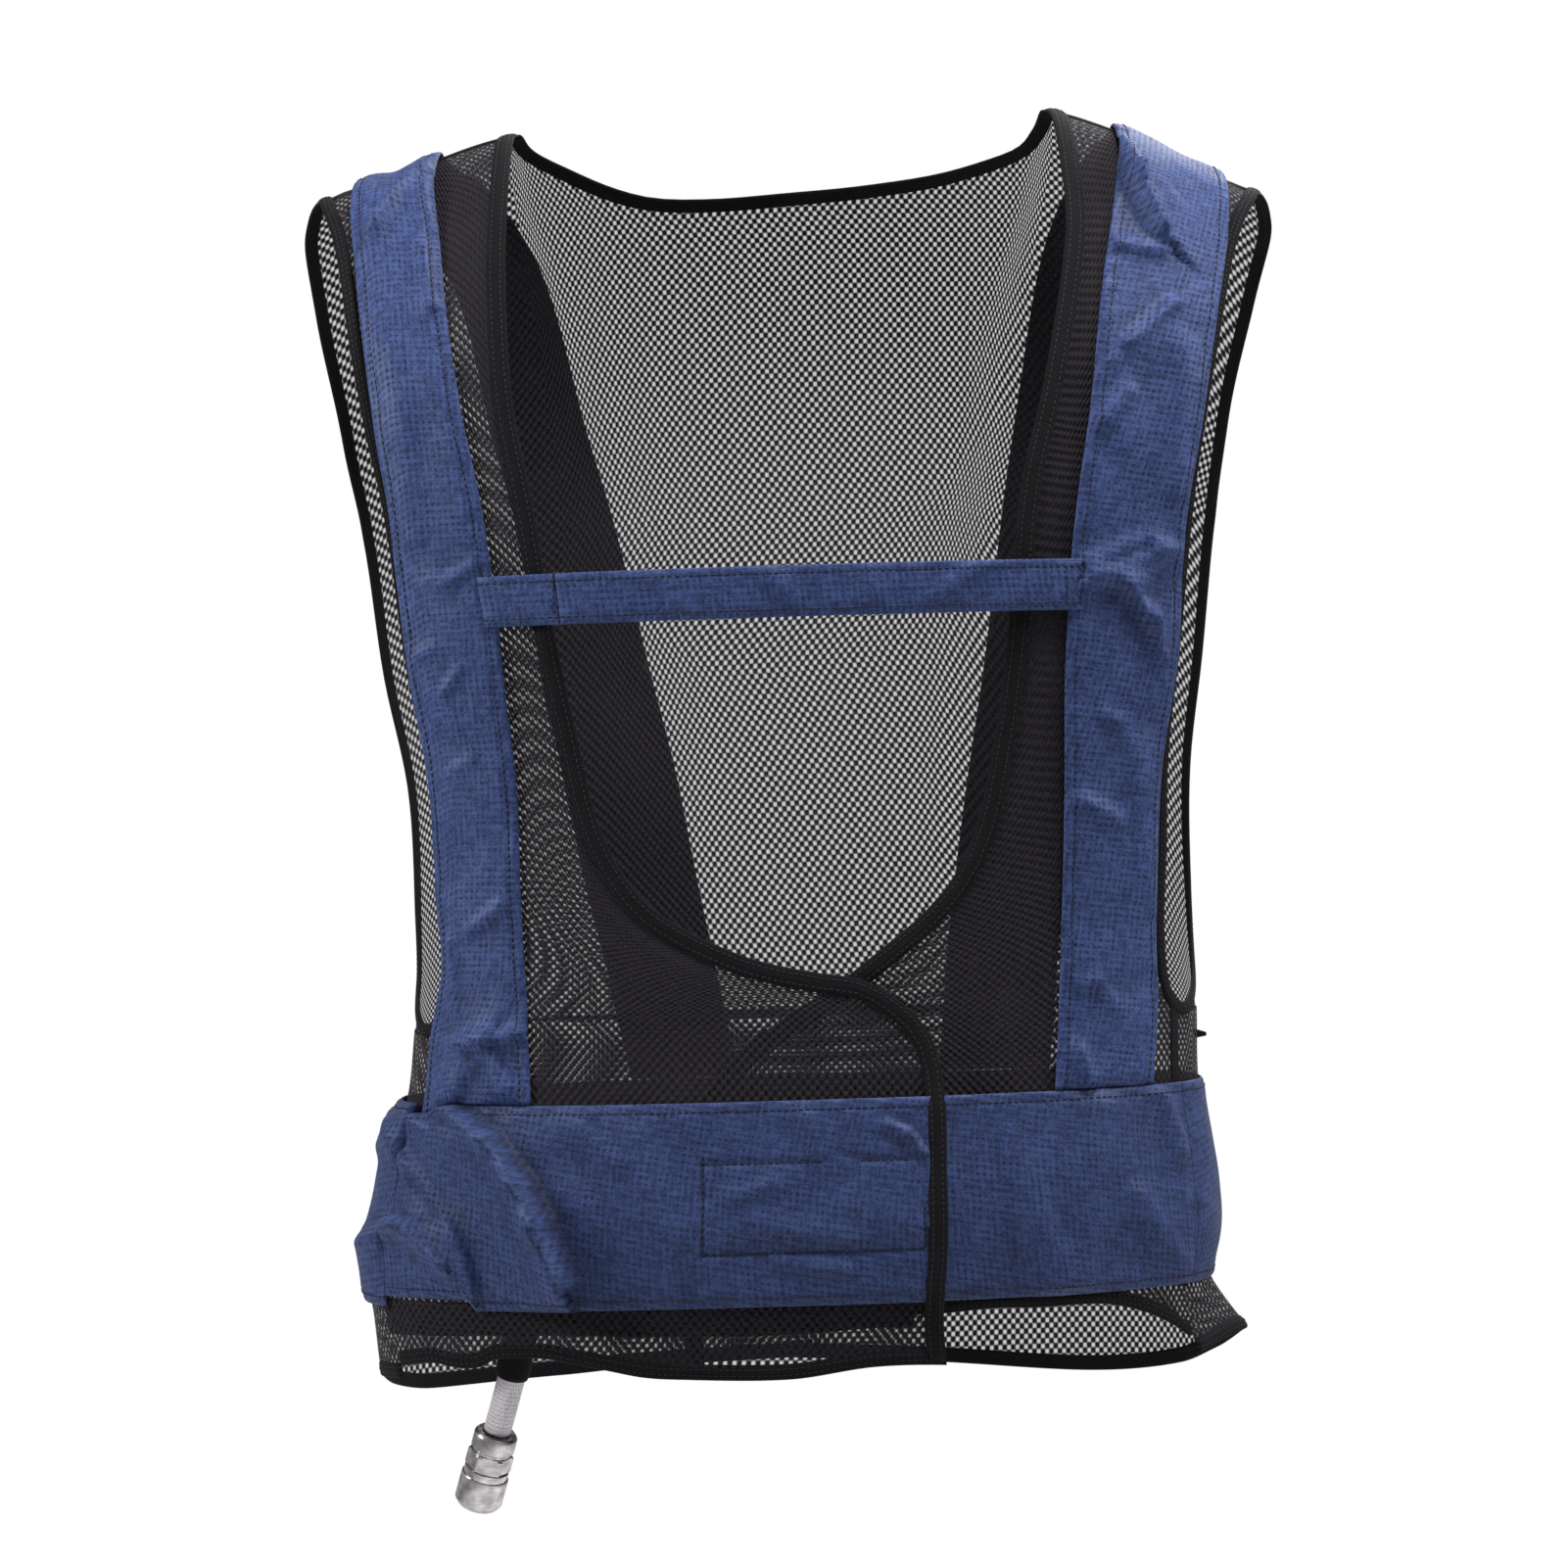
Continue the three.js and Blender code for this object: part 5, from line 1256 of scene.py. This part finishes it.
# small end of tape at the left side; sections are its distance out, bottom and top
tabSettings = {"level": 0.742, "proud": 0.6, "sections": ((-0.4, -2.5, 2.5), (6, -1.2, 0.6)), "half": 0.9,
               "rounding": 0.6}
tabRun = runOf(np.array([tabSettings["level"]]))
tabAt, tabOut = bodyPoint(np.array([1.0]), tabRun)[0], bodyNormal(np.array([1.0]), tabRun)[0]
tabOut[2] = 0
tabOut /= np.linalg.norm(tabOut)
tabSide = np.cross([0, 0, 1], tabOut)
tabRoot = tabAt + tabOut * tabSettings["proud"]
tabPoints = [tabRoot + tabOut * out + tabSide * side * tabSettings["half"] + np.array([0, 0, up])
             for out, low, high in tabSettings["sections"] for side in (-1, 1) for up in (low, high)]
tabFaces = [(0, 1, 3, 2), (4, 6, 7, 5), (0, 4, 5, 1), (2, 3, 7, 6), (1, 5, 7, 3), (0, 2, 6, 4)]
sideTab = keep("side_tab", meshOf("side_tab", tabPoints, tabFaces, np.zeros((8, 2)), False), tapeFinish,
               replaced=["side_tab"])
tabBevel = sideTab.modifiers.new("round", "BEVEL")
tabBevel.width, tabBevel.segments = tabSettings["rounding"] * mm, 3

# black facing behind the net below the waistband, from x to x
facingSettings = {"ends": (-201, 60), "hidden": 3, "drop": 15, "under": -2.6, "thick": 1.0, "rounding": 0.8}
facingHalf = body["span"] / 2 * 0.87
facingWay = np.linspace(*(float(wayOf(x / facingHalf)) for x in facingSettings["ends"]), 90)[None]
facingHeight = facingSettings["drop"] + facingSettings["hidden"]
facingDown = (cornerSpread(8, facingHeight, facingSettings["rounding"]) * facingHeight
              - facingSettings["hidden"])
facingRun = runOf(band["bottom"]) + facingDown[:, None] / body["length"] / (1 - body["chest"])
facingStrip = Cloth("hem_facing", facingWay, facingRun, facingSettings["under"], facingSettings["thick"],
                    tapeFinish, facingSettings["rounding"])
print("strap and patch ready")

# hose
hoseSettings = {"radius": 6.75, "sleeveWall": 1.2, "sleeveSpan": (0.34, 0.725)}
inletSettings = {"reach": -0.665, "down": 0.8365, "gap": 1.6, "flange": 2.4, "flangeRadius": 12.5,
                 "radius": 9, "length": 24, "stem": 3, "sharp": 35}
hoseOffsets = [(0, 0, 0), (0, 0, -16), (-0.3, 0.7, -32), (-1.3, 2.2, -48), (-3.2, 4.5, -64), (-6.4, 8.3, -80),
               (-10.6, 13.1, -96), (-15.1, 18.5, -112)]
inletWay, inletRun = wayOf(np.array([inletSettings["reach"]])), runOf(np.array([inletSettings["down"]]))
inletNormal = bodyNormal(inletWay, inletRun)[0]
inletCentre = bodyPoint(inletWay, inletRun)[0] - inletNormal * (
    0.5 + inletSettings["gap"] + inletSettings["flange"] / 2)
socketInside = inletSettings["flange"] / 2 + inletSettings["stem"] + inletSettings["radius"]
socketCentre = inletCentre - inletNormal * socketInside
inletMouth = socketCentre - np.array([0, 0, inletSettings["length"] / 2])
hoseRoute = inletMouth + np.array(hoseOffsets, float)
hosePath = throughPoints(hoseRoute, np.linspace(0, 1, 61))
hoseEnd = hoseRoute[-1]
couplerDown = hosePath[-1] - hosePath[-2]
couplerDown /= np.linalg.norm(couplerDown)


def cap(ring, centre, flip):
    count = len(ring)
    faces = [(ring[k], ring[(k + 1) % count], centre) for k in range(count)]
    return [face[::-1] for face in faces] if flip else faces


def sweep(points, radii, sides=40, hollow=0.0):
    # a round tube along points, closed at its ends, or with a bore
    points = np.asarray(points, float)
    tangents = np.gradient(points, axis=0)
    tangents /= np.linalg.norm(tangents, axis=1)[:, None]
    first = np.cross(tangents[0], [0, 1, 0])
    first /= np.linalg.norm(first)
    length = stepsAlong(points, 0)
    verts, uvs = [], []
    angles = np.linspace(0, turn, sides + 1)
    layers = [np.asarray(radii, float)] + ([np.full(len(points), hollow)] if hollow else [])
    frames = []
    for k in range(len(points)):
        first = first - tangents[k] * np.dot(first, tangents[k])
        first /= np.linalg.norm(first)
        frames.append((first.copy(), np.cross(tangents[k], first)))
    for layer in layers:
        for k, (a, b) in enumerate(frames):
            for angle in angles:
                verts.append(points[k] + (a * math.cos(angle) + b * math.sin(angle)) * layer[k])
                uvs.append((angle / turn, length[k] * mm))
    rows, columns = len(points), sides + 1
    faces = gridFaces(rows, columns)[:, ::-1].tolist()
    if hollow:
        total = rows * columns
        faces += gridFaces(rows, columns, total).tolist()
        for k in range(sides):
            faces.append((k, k + 1, total + k + 1, total + k))
            a = (rows - 1) * columns + k
            faces.append((a + 1, a, total + a, total + a + 1))
    else:
        for row, flip in ((0, False), (rows - 1, True)):
            verts.append(points[row])
            uvs.append((0.5, length[row] * mm))
            ring = [row * columns + k for k in range(sides)]
            faces += cap(ring, len(verts) - 1, flip)
    return np.array(verts), faces, np.array(uvs)


hoseVerts, hoseFaces, hoseUv = sweep(hosePath[:-1], np.full(60, hoseSettings["radius"]))
hose = keep("hose", meshOf("hose", hoseVerts, hoseFaces, hoseUv), braidFinish, replaced=["hose"])
sleeveIn = hoseSettings["radius"] + 2 * gap
sleevePath = throughPoints(hoseRoute, np.linspace(*hoseSettings["sleeveSpan"], 31))
sleeveOut = sleeveIn + hoseSettings["sleeveWall"] - 0.3 + 0.3 * np.sin(np.linspace(0, 9, 31)) ** 2
sleeveOut[[0, -1]] -= 0.4
hoseSleeve = keep("hose_sleeve", meshOf("hose_sleeve", *sweep(sleevePath, sleeveOut, 32, sleeveIn)),
                  tapeFinish, replaced=["hose_sleeve"])

spin = np.array(Vector((0, 0, -1)).rotation_difference(Vector(couplerDown)).to_matrix())


def lathe(profile, sides=72, shape=None):
    # a ring turned round Z from radius and height rows; shape narrows it by angle
    angles = np.linspace(0, turn, sides, endpoint=False)
    rows = len(profile)
    verts, uvs = [], []
    for radius, height in profile:
        for angle in angles:
            r = shape(radius, angle) if shape else radius
            verts.append((r * math.cos(angle), r * math.sin(angle), height))
            uvs.append((angle / turn, height * mm))
    faces = []
    for row in range(rows):
        after = (row + 1) % rows
        for k in range(sides):
            k2 = (k + 1) % sides
            faces.append((row * sides + k, after * sides + k, after * sides + k2, row * sides + k2))
    return np.array(verts, float), faces, np.array(uvs)


def joined(parts):
    verts, faces, uvs = [], [], []
    for v, f, t in parts:
        start = sum(len(x) for x in verts)
        verts.append(v)
        uvs.append(t)
        faces += [tuple(k + start for k in face) for face in f]
    return np.vstack(verts), faces, np.vstack(uvs)


def metalPiece(name, parts, rides):
    # places parts that are made round Z on the hose's end
    verts, faces, uvs = joined(parts)
    mesh = meshOf(name, verts @ spin.T + hoseEnd, faces, uvs)
    mesh.set_sharp_from_angle(angle=math.radians(coupler["sharp"]))
    return keep(name, mesh, metalFinish, rides, [name])


coupler = {"collar": 10.75, "collarLength": 8, "hex": 20, "hexLength": 10, "hexInset": 1.2, "barrel": 8,
           "bore": 4.5, "sleeve": 11.75, "sleeveLength": 17, "travel": 3, "proud": 0.7, "overlap": 5,
           "neck": 11.0, "waist": 9.7, "sharp": 32}
hexTop = -coupler["collarLength"] - coupler["hexInset"]
hexBottom = hexTop - coupler["hexLength"]
sleeveTop = hexBottom - coupler["travel"] - gap
sleeveBottom = sleeveTop - coupler["sleeveLength"]
barrelBottom = sleeveBottom - coupler["proud"]
collarBore = coupler["collar"] - 3.7
hexHalf = coupler["hex"] / 2
hexCorner = coupler["hex"] / math.sqrt(3)


def hexShape(radius, angle):
    # cuts the six flats
    flat = hexHalf / math.cos((angle % (math.pi / 3)) - math.pi / 6)
    return min(radius, flat) if radius > coupler["barrel"] + 0.5 else radius


bore, barrel, collar = coupler["bore"], coupler["barrel"], coupler["collar"]
collarBottom, barrelTop = -coupler["collarLength"], -coupler["overlap"]
hexProfile = [(bore, hexTop), (hexHalf - 0.3, hexTop), (hexHalf + 0.35, hexTop - 0.35),
              (hexCorner - 0.25, hexTop - 1.3), (hexCorner - 0.12, hexTop - 1.6),
              (hexCorner - 0.12, hexBottom + 1.6), (hexCorner - 0.25, hexBottom + 1.3),
              (hexHalf + 0.35, hexBottom + 0.35), (hexHalf - 0.3, hexBottom), (bore, hexBottom)]
barrelProfile = [(bore, barrelTop - gap), (barrel, barrelTop - gap), (barrel, barrelBottom + 0.4),
                 (barrel - 0.4, barrelBottom), (bore + 0.5, barrelBottom), (bore, barrelBottom + 0.5)]
neckProfile = [(barrel - 1, hexBottom + 0.5), (barrel - 1, sleeveTop - 1.2),
               (coupler["neck"] - 0.4, sleeveTop - 1.2), (coupler["neck"], sleeveTop - 0.8),
               (coupler["neck"], hexBottom + 0.5)][::-1]
waistProfile = [(barrel - 1, hexTop - 0.5), (coupler["waist"], hexTop - 0.5),
                (coupler["waist"], collarBottom - gap), (barrel - 1, collarBottom - gap)][::-1]
couplerBody = metalPiece("coupler_body", [lathe(barrelProfile), lathe(hexProfile, 144, hexShape),
                                          lathe(neckProfile), lathe(waistProfile)], rideBody)
collarTop, collarRim = coupler["overlap"] * 0.2, collar * 0.92
collarProfile = [(collarBore, collarTop), (collarRim - 0.3, collarTop), (collarRim, collarTop - 0.3),
                 (collar - 0.25, -0.1), (collar, -0.5), (collar, collarBottom + 0.6),
                 (collar - 0.6, collarBottom), (barrel + gap, collarBottom), (barrel + gap, barrelTop),
                 (collarBore, barrelTop)]
hoseCollar = metalPiece("hose_collar", [lathe(collarProfile)], rideBody)
sleeveBore, neckBore, sleeve = barrel + 0.4, coupler["neck"] + 0.2, coupler["sleeve"]
sleeveProfile = [(sleeveBore, sleeveTop - 4.5), (neckBore, sleeveTop - 4.5), (neckBore, sleeveTop),
                 (sleeve - 0.3, sleeveTop), (sleeve, sleeveTop - 0.5), (sleeve, sleeveBottom + 3.0),
                 (sleeve - 0.2, sleeveBottom + 2.5), (sleeve - 2.0, sleeveBottom + 0.2),
                 (sleeve - 2.3, sleeveBottom), (sleeveBore, sleeveBottom)]
couplerSleeve = metalPiece("coupler_sleeve", [lathe(sleeveProfile)], sleeveBody)


def toNormal(verts, at, normal):
    turned = np.array(Vector((0, 0, 1)).rotation_difference(Vector(normal)).to_matrix())
    return verts @ turned.T + at


def disc(radius, bottom, top, corner):
    # a solid disc, with its outer corners cut off
    return lathe([(0.05, bottom), (0.05, top), (radius - corner, top), (radius, top - corner),
                  (radius, bottom + corner), (radius - corner, bottom)][::-1])


flangeHalf, socketHalf = inletSettings["flange"] / 2, inletSettings["length"] / 2
flange = disc(inletSettings["flangeRadius"], -flangeHalf, flangeHalf, 0.4)
stemRadius = inletSettings["radius"] * 0.7
stem = lathe([(0.05, 0), (0.05, socketInside), (stemRadius, socketInside), (stemRadius, 0)][::-1])
socket = disc(inletSettings["radius"], -socketHalf, socketHalf, 0.5)
inletParts = [(toNormal(flange[0], inletCentre, inletNormal), *flange[1:]),
              (toNormal(stem[0] - [0, 0, socketInside], inletCentre, inletNormal), *stem[1:]),
              (socket[0] + socketCentre, *socket[1:])]
inletMesh = meshOf("hose_inlet", *joined(inletParts))
inletMesh.set_sharp_from_angle(angle=math.radians(inletSettings["sharp"]))
keep("hose_inlet", inletMesh, plasticFinish, replaced=["hose_inlet"])
tuple(float(v) for v in inletMouth * mm)
[tuple(float(v) for v in point * mm) for point in hoseRoute]

# sewing
stitchRuns = []
for side in (-1, 1):
    for last in (False, True):
        stitchRuns.append(ducts[side].sideLine(ductSettings["stitch"], last))
for piece in (rightBand, leftBand, backBand):
    for last in (False, True):
        stitchRuns.append(piece.endLine(bandSettings["stitch"], last))
for piece in (tab, strap):
    for last in (False, True):
        stitchRuns.append(piece.endLine(strapSettings["stitch"], last))
stitchRuns += [rightBand.frontLine(*seam) for seam in patchSeams]
stitchRuns += [tab.frontLine(x, -189, x, -168) for x in (-113, -109)]
stitchRuns += [strap.frontLine(x, -185, x, -165) for x in (133, 139.5)]
blueStitches = stitches("blue_stitches", stitchRuns, darkThread, blueStitchSize)
tapeRuns = [piece.sideLine(tapeSettings["stitch"], last) for last in (True, False) for piece in tapes]
tapeStitches = stitches("tape_stitches", tapeRuns, blackThread, tapeStitchSize)
print("sewing ready")

([piece.made for piece in tapes + sideSeams + shoulderSeams]
         + [patch.made, facingStrip.made, sideTab, blueStitches, tapeStitches])
print("flat sizes", [(made.name, [round(x, 3) for x in flat], round(area, 4)) for made, flat, area in
                     (rightNet, leftNet, backNet)])

# floor, light
stage = {"floorLevel": -1.16, "floorRadius": 2.6, "floorColour": (0.86, 0.86, 0.86), "world": 0.14,
         "gloss": 0.4}
floorPoints = [(stage["floorRadius"] / mm * math.cos(a), stage["floorRadius"] / mm * math.sin(a),
                stage["floorLevel"] / mm) for a in np.linspace(0, turn, 96, endpoint=False)]
floorMesh = meshOf("floor", floorPoints, [tuple(range(96))], smoothed=False)
floor = bpy.data.objects.new("floor", floorMesh)
bpy.context.scene.collection.objects.link(floor)
floorFinish = Finish("paleFloor", "floor")
floorFinish.set(Base_Color=stage["floorColour"], Roughness=0.8)
floorMesh.materials.append(floorFinish.material)

world = bpy.data.worlds.new("studio")
bpy.context.scene.world = world
world.use_nodes = True
worldTree = world.node_tree
rays = worldTree.nodes.new("ShaderNodeLightPath")


def sky(node, strength):
    node.inputs["Color"].default_value = (1, 1, 1, 1)
    node.inputs["Strength"].default_value = strength
    return node.outputs[0]


def chosenSky(ray, others, chosen):
    node = worldTree.nodes.new("ShaderNodeMixShader")
    for socket, source in zip(node.inputs, (rays.outputs[ray], others, chosen)):
        worldTree.links.new(source, socket)
    return node.outputs[0]


# the backdrop is white, and what it lights and shows in the metal is dimmer
softSky, glossSky = (sky(worldTree.nodes.new("ShaderNodeBackground"), stage[name])
                     for name in ("world", "gloss"))
litSky = chosenSky("Is Glossy Ray", softSky, glossSky)
wholeSky = chosenSky("Is Camera Ray", litSky, sky(worldTree.nodes["Background"], 1.0))
worldTree.links.new(wholeSky, worldTree.nodes["World Output"].inputs["Surface"])

lamps = [
    {"name": "key", "at": (-1.25, -0.45, 0.15), "size": 0.4, "power": 16},
    {"name": "right", "at": (1.3, -0.3, 0.5), "size": 0.45, "power": 13},
    {"name": "top", "at": (0.4, -0.55, 1.5), "size": 0.5, "power": 44},
    {"name": "back", "at": (0.8, 2.0, 1.5), "size": 1.4, "power": 30},
]
for lamp in lamps:
    data = bpy.data.lights.new(lamp["name"], "AREA")
    data.shape = "DISK"
    data.size = lamp["size"]
    data.energy = lamp["power"]
    light = bpy.data.objects.new(lamp["name"], data)
    light.location = lamp["at"]
    aim = Vector((0, 0, -0.27)) - light.location
    light.rotation_euler = aim.to_track_quat("-Z", "Y").to_euler()
    bpy.context.scene.collection.objects.link(light)

bpy.context.scene.view_settings.view_transform = "Standard"
bpy.context.scene.view_settings.look = "None"
print("light ready")
